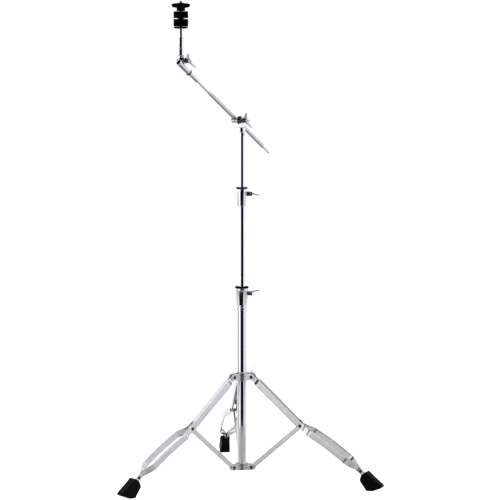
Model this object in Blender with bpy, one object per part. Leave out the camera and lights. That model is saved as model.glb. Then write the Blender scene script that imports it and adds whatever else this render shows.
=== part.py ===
"""Cymbal boom stand: folding double-braced tripod, telescoping tubes, sliding boom arm, tilter and felts.

Lengths are metres and +Z is up. The origin is on the floor, at the centre of the stand's outline.
"""

import math

import bmesh
import bpy
from mathutils import Matrix, Vector

GAP = 0.0003
POST_Y = -0.0955  # the post stands behind the outline's centre, because one leg points along +Y
POST_LIFT = 0.003  # heights below are measured from this level

# Tripod linkage: radius and height of the pivots in each leg's upright plane
LEG_AZIMUTHS = (90, 210, 330)
PIVOT_R = 0.030
HUB_PIVOT_Z = 0.0330
COLLAR_PIVOT_Z = 0.2790
KNEE_R = 0.170
KNEE_Z = (HUB_PIVOT_Z + COLLAR_PIVOT_Z) / 2
LINK = math.hypot(KNEE_R - PIVOT_R, COLLAR_PIVOT_Z - KNEE_Z)

# Leg strips
STRIP_T = 0.0018
STRIP_HALF = 0.0092
END_HALF = 0.0066
TAB_HALF = 0.0072
STRIP_NARROW = 0.0033
STRIP_WIDE = 0.0062
FLANGE = 0.0028
BOW = 0.0150
SHOULDER = 0.014
FOOT_U, FOOT_Z = 0.345, 0.041
KNEE_SLOPE = math.radians(25)
FOOT_SLOPE = math.radians(41)
TAB_LENGTH = 0.014
FOOT_RIVET_BACK = 0.008

# Rubber foot, as (distance from the post, height) round its side view, and its half widths
BOOT_SIDE = (
    (0.3385, 0.0230), (0.3425, 0.0370), (0.3570, 0.0480), (0.3990, 0.0140), (0.4020, 0.0095),
    (0.3980, 0.0060), (0.3740, -0.0030), (0.3590, -0.0030),
)
BOOT_HALF = 0.0145
BOOT_MOUTH_SHARE = 0.76
BOOT_TOE_SHARE = 0.84
BOOT_EDGE = 0.0022

# Rivets and their holes
RIVET_R = 0.0020
RIVET_HOLE_R = 0.0023
RIVET_HEAD_R = 0.0046
RIVET_HEAD_T = 0.0020

STRUT_HALF_T = 0.0025
STRUT_HALF_H = 0.0065
STRUT_BOSS_R, STRUT_BOSS_HALF = 0.0052, 0.0055
EAR_T = 0.0030

# Tubes
BASE_R, BASE_BORE_R = 0.0127, 0.0115
MIDDLE_R, MIDDLE_BORE_R = 0.0111, 0.0101
TOP_R, TOP_BORE_R = 0.009525, 0.0083
BASE_BOTTOM, BASE_TOP = 0.0264, 0.5000
MIDDLE_BOTTOM, MIDDLE_TOP = 0.3150, 0.7680
TOP_BOTTOM, TOP_TOP = 0.5750, 0.9350

HUB_BOTTOM, HUB_TOP, HUB_R = 0.0242, 0.0440, 0.0166
HUB_FLOOR = 0.0019
HUB_EAR_R = 0.0085
COLLAR_BOTTOM, COLLAR_TOP, COLLAR_R = 0.2685, 0.2905, 0.0162
COLLAR_EAR_R = 0.0086
COLLAR_SCREW_AZIMUTH = 30
COLLAR_SCREW_Z = 0.2810
COLLAR_SCREW_SEAT = 0.0270
BAND_BOTTOM, BAND_TOP = 0.4590, 0.4660

# Height clamps: bottom, top of the housing, top of the bushing's flange, and the outer radii
LOWER_CLAMP = (0.4715, 0.5175, 0.5225, 0.0146, 0.0176, 0.0182)
UPPER_CLAMP = (0.7375, 0.7840, 0.7885, 0.0130, 0.0146, 0.0154)
CLAMP_AZIMUTH = -8
CLAMP_BOLT_OFFSET = 0.0225
CLAMP_BOLT_DROP = 0.0130
CLAMP_EAR_FACE = 0.0062
EAR_HALF_GAP = 0.0008

# Clearance holes and shanks shared by the M6 bolts
BOLT_R, BOLT_HOLE_R = 0.0030, 0.0033
BOLT_END = 0.0008  # chamfer at a bolt's tip
CUTTER_REACH = 0.03  # half length of the tools that cut right through a piece

# Small screws: radius of the shank and of its hole
SCREW_R, YOKE_SCREW_HOLE_R, SET_SCREW_HOLE_R = 0.0020, 0.0024, 0.0023
YOKE_SCREW_TIP = 0.0050

# Wing nuts and wing bolts: span, hub radius, hub length, and where the wings start and end along the axis
COLLAR_WING = (0.044, 0.0062, 0.0120, 0.0020, 0.0165)
CLAMP_WING = (0.056, 0.0058, 0.0180, 0.0130, 0.0205)
BOOM_WING = (0.048, 0.0070, 0.0150, 0.0050, 0.0210)
TILTER_WING = (0.048, 0.0070, 0.0150, 0.0060, 0.0220)
WING_T = 0.0036
CLAMP_SHANK = 0.0190

# How far each wing is turned about its axis, in degrees
LOWER_WING_TURN, UPPER_WING_TURN, BOOM_WING_TURN, TILTER_WING_TURN = 10, -15, -57, -48

# Plastic bushings' length inside the clamps, and the clamps' square nuts
LOWER_BUSHING, UPPER_BUSHING = 0.0170, 0.0155
SQUARE_NUT_HALF, SQUARE_NUT_T = 0.0055, 0.0048

# Boom: the pivot's height on the post, the boom's direction and its offset beside the post
BOOM_PIVOT_Z = 0.9660
BOOM_AZIMUTH = 228.4
BOOM_ELEVATION = 31.0
BOOM_OFFSET = -0.0170
SLEEVE_R, SLEEVE_START, SLEEVE_END = 0.0053, -0.1485, 0.149
ROD_R, ROD_START = 0.0041, -0.184
DISC_R = 0.0112
HOLDER_R, HOLDER_FAR = 0.0092, -0.0290
HOLDER_FACE, YOKE_FACE, YOKE_BACK = -0.0038, -0.0035, 0.0040
YOKE_NECK = 0.0135
YOKE_SCREW_AZIMUTH = 75.7
YOKE_SCREW_DROP = 0.0055

# Tilter socket along the boom: a narrow neck on the rod, a ring and a thicker end under the tilter's pivot
SOCKET_START, SOCKET_RING, SOCKET_END = 0.2130, 0.2535, 0.3070
SOCKET_NECK_R, SOCKET_RING_R, SOCKET_R = 0.0066, 0.0090, 0.0085
SET_SCREW_ALONG = 0.2264
TILTER_ALONG, TILTER_ABOVE = 0.2910, 0.0142
TILTER_DISC_R = 0.0110
HEAD_FACE, SOCKET_FACE, SOCKET_BACK = 0.0011, 0.0014, 0.0064
HEAD_BACK = -0.0060
BOOM_BOLT_START, BOOM_BOLT_TIP, TILTER_BOLT_TIP = -0.0078, 0.0260, 0.0272
BOLT_CAP_R = 0.0054

# Tilter head and cymbal seat, as heights above the tilter's pivot, on a rod beside it
CYMBAL_ROD_Y = -0.0073
HEAD_BARREL = ((0.0, -0.0100), (0.0062, -0.0100), (0.0078, -0.0085), (0.0078, 0.0115), (0.0092, 0.0135),
               (0.0092, 0.0290), (0.0098, 0.0293), (0.0098, 0.0311), (0.0082, 0.0314), (0.0082, 0.0566),
               (0.0077, 0.0571), (0.0, 0.0571))
CYMBAL_ROD_START = 0.0259
CYMBAL_ROD_R = 0.0030
CUP_R, CUP_BOTTOM, CUP_TOP = 0.0178, 0.0808, 0.0859
FELT_R = 0.0190
LOWER_FELT = (0.0862, 0.1057)
UPPER_FELT = (0.1073, 0.1252)
SLEEVE_FLANGE = (0.1059, 0.1071, 0.0105)
NUT_NECK_R, NUT_NECK_TOP, NUT_TOP, ROD_TOP = 0.0110, 0.1331, 0.1459, 0.1514
NUT_TURN = -56.3
NUT_WING = ((-0.0245, 0.0008), (-0.0225, 0.0042), (-0.0160, 0.0063), (0.0160, 0.0063), (0.0225, 0.0042),
            (0.0245, 0.0008), (0.0204, -0.0063), (-0.0204, -0.0063))
NUT_WING_HALF = 0.0052
NUT_HUB_R = 0.0085
CYMBAL_SLEEVE_R = 0.0060

ALONG_Y = Matrix.Rotation(-math.pi / 2, 4, "X")
ALONG_X = Matrix.Rotation(math.pi / 2, 4, "Y")


# ---------------------------------------------------------------- scene and materials


def clear_scene():
    for obj in list(bpy.data.objects):
        bpy.data.objects.remove(obj, do_unlink=True)


def material(name, color, metallic, roughness):
    mat = bpy.data.materials.new(name)
    mat.use_nodes = True
    shader = mat.node_tree.nodes["Principled BSDF"]
    shader.inputs["Base Color"].default_value = (*color, 1)
    shader.inputs["Metallic"].default_value = metallic
    shader.inputs["Roughness"].default_value = roughness
    return mat


def pivot(name, parent, location, rotation=(0, 0, 0)):
    """An empty that marks a joint or a sub-assembly's frame."""
    empty = bpy.data.objects.new(name, None)
    bpy.context.scene.collection.objects.link(empty)
    empty.parent = parent
    empty.location = location
    empty.rotation_euler = [math.radians(angle) for angle in rotation]
    return empty


def node(name, bm, mat, parent):
    """One named piece of the stand, shaded smooth except at its real edges."""
    face_outward(bm)
    mesh = bpy.data.meshes.new(name)
    bm.to_mesh(mesh)
    bm.free()
    mesh.materials.append(mat)
    mesh.shade_smooth()
    mesh.set_sharp_from_angle(angle=math.radians(32))
    obj = bpy.data.objects.new(name, mesh)
    bpy.context.scene.collection.objects.link(obj)
    obj.parent = parent
    return obj


# ---------------------------------------------------------------- shapes


def face_outward(bm):
    bmesh.ops.recalc_face_normals(bm, faces=bm.faces)
    if bm.calc_volume(signed=True) < 0:
        bmesh.ops.reverse_faces(bm, faces=bm.faces)
    return bm


def turned(profile, segments=24, closed=False):
    """Turns (radius, height) points about Z. An open profile starts and ends on the axis."""
    bm = bmesh.new()
    verts = [bm.verts.new((radius, 0, height)) for radius, height in profile]
    edges = [bm.edges.new(pair) for pair in zip(verts, verts[1:])]
    if closed:
        edges.append(bm.edges.new((verts[-1], verts[0])))
    bmesh.ops.spin(
        bm, geom=verts + edges, cent=(0, 0, 0), axis=(0, 0, 1), angle=math.tau, steps=segments, use_merge=True
    )
    bmesh.ops.remove_doubles(bm, verts=bm.verts, dist=1e-6)
    return face_outward(bm)


def rod(radius, start, end, segments=16):
    return turned([(0, start), (radius, start), (radius, end), (0, end)], segments)


def tube(inner, outer, start, end, segments=24):
    return turned([(inner, start), (outer, start), (outer, end), (inner, end)], segments, closed=True)


def prism(outline, start, end):
    """Extrudes an outline of (x, z) points along Y."""
    bm = bmesh.new()
    face = bm.faces.new([bm.verts.new((x, start, z)) for x, z in outline])
    extruded = bmesh.ops.extrude_face_region(bm, geom=[face])["geom"]
    side = [item for item in extruded if isinstance(item, bmesh.types.BMVert)]
    bmesh.ops.translate(bm, verts=side, vec=(0, end - start, 0))
    return face_outward(bm)


def box(low, high):
    (x0, y0, z0), (x1, y1, z1) = low, high
    return prism([(x0, z0), (x1, z0), (x1, z1), (x0, z1)], y0, y1)


def loft(rings):
    """Joins rings of equally many points into one closed body."""
    bm = bmesh.new()
    loops = [[bm.verts.new(point) for point in ring] for ring in rings]
    count = len(loops[0])
    for first, second in zip(loops, loops[1:]):
        for i in range(count):
            j = (i + 1) % count
            bm.faces.new((first[i], first[j], second[j], second[i]))
    bm.faces.new(loops[0])
    bm.faces.new(loops[-1])
    return face_outward(bm)


def placed(bm, matrix=None, offset=(0, 0, 0)):
    if matrix is not None:
        bmesh.ops.transform(bm, matrix=matrix, verts=bm.verts)
    bmesh.ops.translate(bm, verts=bm.verts, vec=offset)
    return bm


def combined(base, tool, operation):
    """Returns base joined with, or cut by, tool."""
    objects = []
    for bm in (base, tool):
        mesh = bpy.data.meshes.new("working")
        bm.to_mesh(mesh)
        bm.free()
        obj = bpy.data.objects.new("working", mesh)
        bpy.context.scene.collection.objects.link(obj)
        objects.append(obj)
    modifier = objects[0].modifiers.new("combine", "BOOLEAN")
    modifier.operation = operation
    modifier.solver = "EXACT"
    modifier.object = objects[1]
    depsgraph = bpy.context.evaluated_depsgraph_get()
    result = bmesh.new()
    result.from_object(objects[0], depsgraph)
    for obj in objects:
        bpy.data.objects.remove(obj, do_unlink=True)
    bmesh.ops.remove_doubles(result, verts=result.verts, dist=1e-6)
    bmesh.ops.dissolve_limit(result, angle_limit=math.radians(0.5), verts=result.verts, edges=result.edges)
    return result


def joined(base, *tools):
    for tool in tools:
        base = combined(base, tool, "UNION")
    return base


def cut(base, *tools):
    for tool in tools:
        base = combined(base, tool, "DIFFERENCE")
    return base


def rounded_bar(x0, x1, radius, steps=6):
    """Outline of a bar from x0 to x1 along X with round ends."""
    right = [math.radians(90 - 180 * i / steps) for i in range(steps + 1)]
    left = [math.radians(270 - 180 * i / steps) for i in range(steps + 1)]
    points = [(x1 + radius * math.cos(a), radius * math.sin(a)) for a in right]
    return points + [(x0 + radius * math.cos(a), radius * math.sin(a)) for a in left]


def smooth(value, start, end):
    share = min(max((value - start) / (end - start), 0), 1)
    return share * share * (3 - 2 * share)


# ---------------------------------------------------------------- fasteners


def rivet(half_width):
    """A shank along Y with a domed head outside each face, half_width from the middle."""
    face = half_width + GAP
    crown = face + RIVET_HEAD_T
    half = [(0, -crown), (RIVET_HEAD_R * 0.6, -crown + 0.0005), (RIVET_HEAD_R, -face), (RIVET_R, -face)]
    return placed(turned(half + [(r, -z) for r, z in reversed(half)], 12), ALONG_Y)


def wing_outline(span, low, high):
    """Butterfly outline of a wing nut in (x, z): span across the tips, from low to high along the axis."""
    tall = high - low
    half = [(0.004, low), (span * 0.26, low + tall * 0.22), (span * 0.42, low + tall * 0.48)]
    half += [(span * 0.50, low + tall * 0.78), (span * 0.49, high), (span * 0.42, high)]
    half += [(span * 0.30, low + tall * 0.80), (0.004, low + tall * 0.62)]
    return half + [(-x, z) for x, z in reversed(half)]


def wing_nut(span, hub_r, hub_length, wing_start, wing_end, bore_r=None):
    """Wings along X, axis along Z, seated at z = 0."""
    hub = turned([(0, 0), (hub_r, 0), (hub_r * 0.8, hub_length), (0, hub_length)], 16)
    wings = prism(wing_outline(span, wing_start, wing_end), -WING_T / 2, WING_T / 2)
    nut = joined(hub, wings)
    if bore_r:
        nut = cut(nut, rod(bore_r, -0.01, hub_length + 0.02, 12))
    return nut


def wing_bolt(span, hub_r, hub_length, wing_start, wing_end, shank_r, shank_length):
    """A wing nut with a plain shank below z = 0."""
    nut = wing_nut(span, hub_r, hub_length, wing_start, wing_end)
    return joined(nut, rod(shank_r, -shank_length, 0.002, 12))


# ---------------------------------------------------------------- tripod


def leg_stations():
    """Centre line of a strip: (u, z, slope, half height, inner face, top flange, bottom flange)."""
    slope = math.atan2(COLLAR_PIVOT_Z - KNEE_Z, KNEE_R - PIVOT_R)
    small = GAP
    stations = []

    def upper(s, half, inner, top, bottom):
        u = PIVOT_R + s * math.cos(slope)
        z = COLLAR_PIVOT_Z - s * math.sin(slope)
        stations.append((u, z, slope, half, inner, top, bottom))

    for angle in (20, 45, 70):
        turn = math.radians(angle)
        upper(-END_HALF * math.cos(turn), END_HALF * math.sin(turn), STRIP_NARROW, small, small)
    for s in (0.0, 0.009, SHOULDER):
        upper(s, end_half(s), STRIP_NARROW, small, small)
    for s in (0.019, 0.026):
        inner = STRIP_NARROW + (STRIP_WIDE - STRIP_NARROW) * smooth(s, SHOULDER, 0.026)
        upper(s, end_half(s), inner, inner - GAP, FLANGE * smooth(s, SHOULDER, 0.019) + small)
    for s in (LINK - 0.024, LINK - 0.014):
        upper(s, STRIP_HALF, STRIP_WIDE, STRIP_WIDE - GAP if s < LINK - 0.015 else small, FLANGE)
    upper(LINK - 0.009, STRIP_HALF, STRIP_WIDE, small, small)

    knee = Vector((KNEE_R, KNEE_Z))
    foot = Vector((FOOT_U, FOOT_Z))
    reach = (foot - knee).length / 3
    first = knee + reach * Vector((math.cos(KNEE_SLOPE), -math.sin(KNEE_SLOPE)))
    second = foot - reach * Vector((math.cos(FOOT_SLOPE), -math.sin(FOOT_SLOPE)))
    stations.append((*knee, (slope + KNEE_SLOPE) / 2, STRIP_HALF, STRIP_WIDE, small, small))
    shares = (0.03, 0.06, 0.09, 0.13, 0.18, 0.25, 0.36, 0.48, 0.60)
    shares += (0.70, 0.75, 0.79, 0.83, 0.87, 0.91, 0.94, 1.0)
    for t in shares:
        r = 1 - t
        point = r**3 * knee + 3 * r * r * t * first + 3 * r * t * t * second + t**3 * foot
        along = r * r * (first - knee) + 2 * r * t * (second - first) + t * t * (foot - second)
        spread = STRIP_WIDE + BOW * smooth(t, 0.03, 0.18)
        inner = GAP + (spread - GAP) * (1 - smooth(t, 0.73, 0.93))
        half = STRIP_HALF + (TAB_HALF - STRIP_HALF) * smooth(t, 0.80, 0.97)
        flange = (FLANGE - small) * smooth(t, 0.05, 0.16) * (1 - smooth(t, 0.80, 0.94)) + small
        flange = min(flange, inner * 0.9)
        stations.append((*point, math.atan2(-along.y, along.x), half, inner, flange, flange))
    stations.append(tab_station(TAB_LENGTH))
    return stations


def end_half(distance):
    """Half height of a strip near its collar end, which narrows to a rounded tab."""
    return END_HALF + (STRIP_HALF - END_HALF) * smooth(distance, 0.009, 0.025)


def tab_station(distance):
    u = FOOT_U + distance * math.cos(FOOT_SLOPE)
    z = FOOT_Z - distance * math.sin(FOOT_SLOPE)
    return (u, z, FOOT_SLOPE, TAB_HALF, GAP, GAP * 0.9, GAP * 0.9)


def strip_ring(station, side):
    """The channel section of a strip: a web with a flange turned inward at its top and bottom."""
    u, z, slope, half, inner, top, bottom = station
    normal = Vector((math.sin(slope), 0, math.cos(slope)))
    edge = STRIP_T * 0.9
    outer = inner + STRIP_T
    section = [(-half, outer), (half, outer), (half, inner - top), (half - edge, inner - top)]
    section += [(half - edge, inner), (edge - half, inner)]
    section += [(edge - half, inner - bottom), (-half, inner - bottom)]
    return [Vector((u, side * v, z)) + n * normal for n, v in section]


def cross_hole(u, z, radius=RIVET_HOLE_R):
    return placed(rod(radius, -CUTTER_REACH, CUTTER_REACH, 12), ALONG_Y, (u, 0, z))


def foot_rivet_place():
    return FOOT_U - FOOT_RIVET_BACK * math.cos(FOOT_SLOPE), FOOT_Z + FOOT_RIVET_BACK * math.sin(FOOT_SLOPE)


def leg_strip(side):
    strip = loft([strip_ring(station, side) for station in leg_stations()])
    holes = [(PIVOT_R, COLLAR_PIVOT_Z), (KNEE_R, KNEE_Z), foot_rivet_place()]
    return cut(strip, *[cross_hole(u, z) for u, z in holes])


def boot():
    """Rubber foot that stands on a short flat sole, with a pocket for the leg's tab."""
    body = prism(BOOT_SIDE, -BOOT_HALF, BOOT_HALF)
    for vert in body.verts:
        if vert.co.x < 0.350:
            vert.co.y *= BOOT_MOUTH_SHARE
        elif vert.co.x > 0.390:
            vert.co.y *= BOOT_TOE_SHARE
    edges = [edge for edge in body.edges if edge.calc_face_angle(0) > math.radians(18)]
    bmesh.ops.bevel(body, geom=edges, offset=BOOT_EDGE, segments=2, affect="EDGES", profile=0.5)
    rings = []
    for distance in (-0.010, TAB_LENGTH + 0.001):
        u, z, slope, *_ = tab_station(distance)
        normal = Vector((math.sin(slope), 0, math.cos(slope)))
        tall = TAB_HALF + 2 * GAP
        wide = STRIP_T + 3 * GAP
        corners = [(-tall, -wide), (tall, -wide), (tall, wide), (-tall, wide)]
        rings.append([Vector((u, v, z)) + n * normal for n, v in corners])
    return cut(body, loft(rings))


def strut():
    """Flat bar from the hub to the knee, along +X from its hub pivot, with a boss at the knee."""
    bar = prism(rounded_bar(0, LINK, STRUT_HALF_H), -STRUT_HALF_T, STRUT_HALF_T)
    boss = placed(rod(STRUT_BOSS_R, -STRUT_BOSS_HALF, STRUT_BOSS_HALF, 16), ALONG_Y, (LINK, 0, 0))
    return cut(joined(bar, boss), cross_hole(0, 0), cross_hole(LINK, 0))


def make_leg(index, post, steel, plated, rubber):
    plane = pivot(f"leg_plane_{index}", post, (0, 0, 0), (0, 0, LEG_AZIMUTHS[index - 1]))
    rise = math.degrees(math.atan2(KNEE_Z - HUB_PIVOT_Z, KNEE_R - PIVOT_R))
    strut_pivot = pivot(f"strut_pivot_{index}", plane, (PIVOT_R, 0, HUB_PIVOT_Z), (0, -rise, 0))
    node(f"strut_{index}", strut(), plated, strut_pivot)
    hub_rivet = placed(rivet(STRUT_HALF_T + GAP + EAR_T), None, (PIVOT_R, 0, HUB_PIVOT_Z))
    node(f"hub_rivet_{index}", hub_rivet, steel, plane)

    knee = pivot(f"knee_pivot_{index}", plane, (KNEE_R, 0, KNEE_Z))
    back = (-KNEE_R, 0, -KNEE_Z)
    for side, label in ((1, "left"), (-1, "right")):
        node(f"leg_strip_{label}_{index}", placed(leg_strip(side), None, back), plated, knee)
    node(f"knee_rivet_{index}", rivet(STRIP_WIDE + STRIP_T), steel, knee)
    u, z = foot_rivet_place()
    foot_rivet = placed(rivet(GAP + STRIP_T), None, (u - KNEE_R, 0, z - KNEE_Z))
    node(f"foot_rivet_{index}", foot_rivet, steel, knee)
    top = (PIVOT_R - KNEE_R, 0, COLLAR_PIVOT_Z - KNEE_Z)
    collar_rivet = placed(rivet(STRIP_NARROW + STRIP_T + GAP + EAR_T), None, top)
    node(f"collar_rivet_{index}", collar_rivet, steel, knee)
    node(f"rubber_foot_{index}", placed(boot(), None, back), rubber, knee)


def ear(u0, half_t, centre_y, pivot_z, radius):
    """A lug that reaches out from a hub or collar, rounded about a leg pivot."""
    outline = [(x + PIVOT_R, z + pivot_z) for x, z in rounded_bar(u0 - PIVOT_R, 0, radius)]
    return prism([point for point in outline if point[0] > u0 - 0.001], centre_y - half_t, centre_y + half_t)


def turned_copies(make, azimuths=LEG_AZIMUTHS):
    return [placed(make(), Matrix.Rotation(math.radians(a), 4, "Z")) for a in azimuths]


def forked(body, inner_face, start, pivot_z, radius):
    """Adds a pair of ears with a rivet hole for each leg, inner_face from the leg's plane."""
    centre = inner_face + EAR_T / 2
    for side in (1, -1):
        body = joined(body, *turned_copies(lambda: ear(start, EAR_T / 2, side * centre, pivot_z, radius)))
    return cut(body, *turned_copies(lambda: cross_hole(PIVOT_R, pivot_z)))


def lower_hub():
    """A cup under the base tube with a forked ear for each strut."""
    bore = BASE_R + GAP
    floor = HUB_BOTTOM + HUB_FLOOR
    profile = [(0, HUB_BOTTOM), (HUB_R - 0.001, HUB_BOTTOM), (HUB_R, HUB_BOTTOM + 0.001)]
    profile += [(HUB_R, HUB_TOP - 0.0015), (HUB_R - 0.0015, HUB_TOP)]
    profile += [(bore, HUB_TOP), (bore, floor), (0, floor)]
    cup = forked(turned(profile), STRUT_HALF_T + GAP, 0.0150, HUB_PIVOT_Z, HUB_EAR_R)
    return cut(cup, rod(bore, floor, HUB_TOP + 0.01, 24))


def leg_collar():
    """The sliding collar: a ring with a forked ear for each leg and a boss for its wing screw."""
    low, high = COLLAR_BOTTOM, COLLAR_TOP
    bore = BASE_R + GAP
    profile = [(bore, low), (COLLAR_R - 0.001, low), (COLLAR_R, low + 0.001), (COLLAR_R, high - 0.001)]
    ring = turned(profile + [(COLLAR_R - 0.001, high), (bore, high)], closed=True)
    turn = Matrix.Rotation(math.radians(COLLAR_SCREW_AZIMUTH), 4, "Z")
    boss = placed(placed(rod(0.0068, 0.0140, 0.0225, 16), ALONG_X, (0, 0, COLLAR_SCREW_Z)), turn)
    hole = placed(placed(rod(BOLT_HOLE_R, 0.0100, 0.0300, 12), ALONG_X, (0, 0, COLLAR_SCREW_Z)), turn)
    inner_face = STRIP_NARROW + STRIP_T + GAP
    collar = forked(joined(ring, boss), inner_face, 0.0125, COLLAR_PIVOT_Z, COLLAR_EAR_R)
    return cut(collar, hole, rod(bore, low - 0.01, high + 0.01, 24))


def make_collar(post, steel, casting):
    collar_pivot = pivot("collar_pivot", post, (0, PIVOT_R, COLLAR_PIVOT_Z))
    node("leg_collar", placed(leg_collar(), None, (0, -PIVOT_R, -COLLAR_PIVOT_Z)), casting, collar_pivot)
    angle = math.radians(COLLAR_SCREW_AZIMUTH)
    seat = COLLAR_SCREW_SEAT
    place = (seat * math.cos(angle), seat * math.sin(angle), COLLAR_SCREW_Z)
    screw_pivot = pivot("collar_wing_pivot", post, place, (0, 0, COLLAR_SCREW_AZIMUTH))
    screw = wing_bolt(*COLLAR_WING, BOLT_R, seat - BASE_R - GAP)
    node("collar_wing_bolt", placed(screw, ALONG_X), steel, screw_pivot)


# ---------------------------------------------------------------- height clamps


def clamp_housing(sizes, bore):
    bottom, top, _, low_r, high_r, _ = sizes
    bolt_z = top - CLAMP_BOLT_DROP
    profile = [(bore, bottom), (low_r - 0.0008, bottom), (low_r, bottom + 0.0010)]
    profile += [(high_r * 0.985, top - 0.014), (high_r, top - 0.008), (high_r, top), (bore, top)]
    housing = turned(profile, closed=True)
    outline = rounded_bar(0.006, CLAMP_BOLT_OFFSET, 0.0062)
    lug = placed(prism(outline, -CLAMP_EAR_FACE, CLAMP_EAR_FACE), None, (0, 0, bolt_z))
    housing = joined(housing, lug)
    slot = box((bore - 0.004, -EAR_HALF_GAP, bottom + 0.012), (0.040, EAR_HALF_GAP, top + 0.002))
    hole = cross_hole(CLAMP_BOLT_OFFSET, bolt_z, BOLT_HOLE_R)
    housing = cut(housing, rod(bore, bottom - 0.01, top + 0.01, 24))
    return cut(housing, slot, hole)


def clamp_bushing(sizes, bore, tube_r, sleeve_length):
    _, top, flange_top, _, _, flange_r = sizes
    flange_low = top + GAP
    inner = tube_r + GAP
    outer = bore - GAP
    low = top - sleeve_length
    profile = [(inner, low), (outer, low), (outer, flange_low), (flange_r, flange_low)]
    profile += [(flange_r, flange_top - 0.0012), (flange_r - 0.0012, flange_top), (inner, flange_top)]
    return turned(profile, closed=True)


def square_nut():
    """Square nut against the clamp's near ear, along -Y from y = 0."""
    half = SQUARE_NUT_HALF
    nut = box((-half, -SQUARE_NUT_T, -half), (half, 0, half))
    return cut(nut, cross_hole(0, 0, BOLT_HOLE_R))


def make_clamp(name, sizes, bore, tube_r, sleeve_length, wing_turn, post, steel, plastic):
    frame = pivot(f"{name}_clamp_frame", post, (0, 0, 0), (0, 0, CLAMP_AZIMUTH))
    bolt_z = sizes[1] - CLAMP_BOLT_DROP
    node(f"{name}_clamp", clamp_housing(sizes, bore), steel, frame)
    node(f"{name}_bushing", clamp_bushing(sizes, bore, tube_r, sleeve_length), plastic, post)
    nut = placed(square_nut(), None, (CLAMP_BOLT_OFFSET, -CLAMP_EAR_FACE - GAP, bolt_z))
    node(f"{name}_clamp_nut", nut, steel, frame)
    place = (CLAMP_BOLT_OFFSET, CLAMP_EAR_FACE + GAP, bolt_z)
    wing_pivot = pivot(f"{name}_wing_pivot", frame, place, (0, -wing_turn, 0))
    bolt = wing_bolt(*CLAMP_WING, BOLT_R, CLAMP_SHANK)
    node(f"{name}_wing_bolt", placed(bolt, ALONG_Y), steel, wing_pivot)


# ---------------------------------------------------------------- boom


def boom_yoke():
    """Plugged into the top tube: a neck with an upright toothed disc facing the boom holder."""
    plug = rod(TOP_BORE_R - GAP, TOP_TOP - 0.022, TOP_TOP + 0.004, 24)
    neck = turned([(0, TOP_TOP + GAP), (TOP_R, TOP_TOP + GAP), (TOP_R - 0.0005, TOP_TOP + YOKE_NECK),
                   (0, TOP_TOP + YOKE_NECK)], 24)
    disc = placed(rod(DISC_R, YOKE_FACE, YOKE_BACK, 24), ALONG_Y, (0, 0, BOOM_PIVOT_Z))
    web = box((-0.0080, YOKE_FACE + 0.0004, TOP_TOP + 0.006), (0.0080, YOKE_BACK - 0.0004, BOOM_PIVOT_Z))
    yoke = joined(neck, plug, web, disc)
    return cut(yoke, cross_hole(0, BOOM_PIVOT_Z, BOLT_HOLE_R), yoke_screw_hole())


def beside_post(bm):
    """Turns a screw along Z into its place in the yoke's plug."""
    turn = Matrix.Rotation(math.radians(YOKE_SCREW_AZIMUTH), 4, "Z")
    return placed(placed(placed(bm, ALONG_X), turn), None, (0, 0, TOP_TOP - YOKE_SCREW_DROP))


def yoke_screw_hole():
    return beside_post(rod(YOKE_SCREW_HOLE_R, YOKE_SCREW_TIP - 0.0005, 0.02, 12))


def top_tube():
    return cut(tube(TOP_BORE_R, TOP_R, TOP_BOTTOM, TOP_TOP), yoke_screw_hole())


def yoke_screw():
    seat = TOP_R + GAP
    shank = [(0, YOKE_SCREW_TIP), (SCREW_R, YOKE_SCREW_TIP), (SCREW_R, seat), (0.0036, seat)]
    return beside_post(turned(shank + [(0.0034, TOP_R + 0.0020), (0, TOP_R + 0.0028)], 12))


def boom_holder():
    """Barrel about the pivot axis Y, crossed by the boom, with a toothed disc facing the yoke."""
    edge = 0.0015
    outline = [(0, HOLDER_FAR), (HOLDER_R - edge, HOLDER_FAR), (HOLDER_R, HOLDER_FAR + edge)]
    outline += [(HOLDER_R, -0.0088), (DISC_R, -0.0080), (DISC_R, HOLDER_FACE), (0, HOLDER_FACE)]
    barrel = placed(turned(outline, 24), ALONG_Y)
    bore = placed(rod(SLEEVE_R + GAP, -CUTTER_REACH, CUTTER_REACH, 20), ALONG_X, (0, BOOM_OFFSET, 0))
    socket = placed(rod(BOLT_HOLE_R, -0.0080, 0.0, 12), ALONG_Y)
    return cut(barrel, bore, socket)


def boom_rod():
    end = TILTER_ALONG - 0.0200
    profile = [(0, ROD_START), (ROD_R - 0.0012, ROD_START), (ROD_R, ROD_START + 0.0016)]
    profile += [(ROD_R, end), (0, end)]
    return placed(turned(profile, 16), ALONG_X, (0, BOOM_OFFSET, 0))


def boom_sleeve():
    inner = ROD_R + GAP
    chamfer = 0.0004
    profile = [(inner, SLEEVE_START), (SLEEVE_R - chamfer, SLEEVE_START), (SLEEVE_R, SLEEVE_START + chamfer)]
    profile += [(SLEEVE_R, SLEEVE_END - chamfer), (SLEEVE_R - chamfer, SLEEVE_END), (inner, SLEEVE_END)]
    return placed(turned(profile, 20, closed=True), ALONG_X, (0, BOOM_OFFSET, 0))


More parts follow.
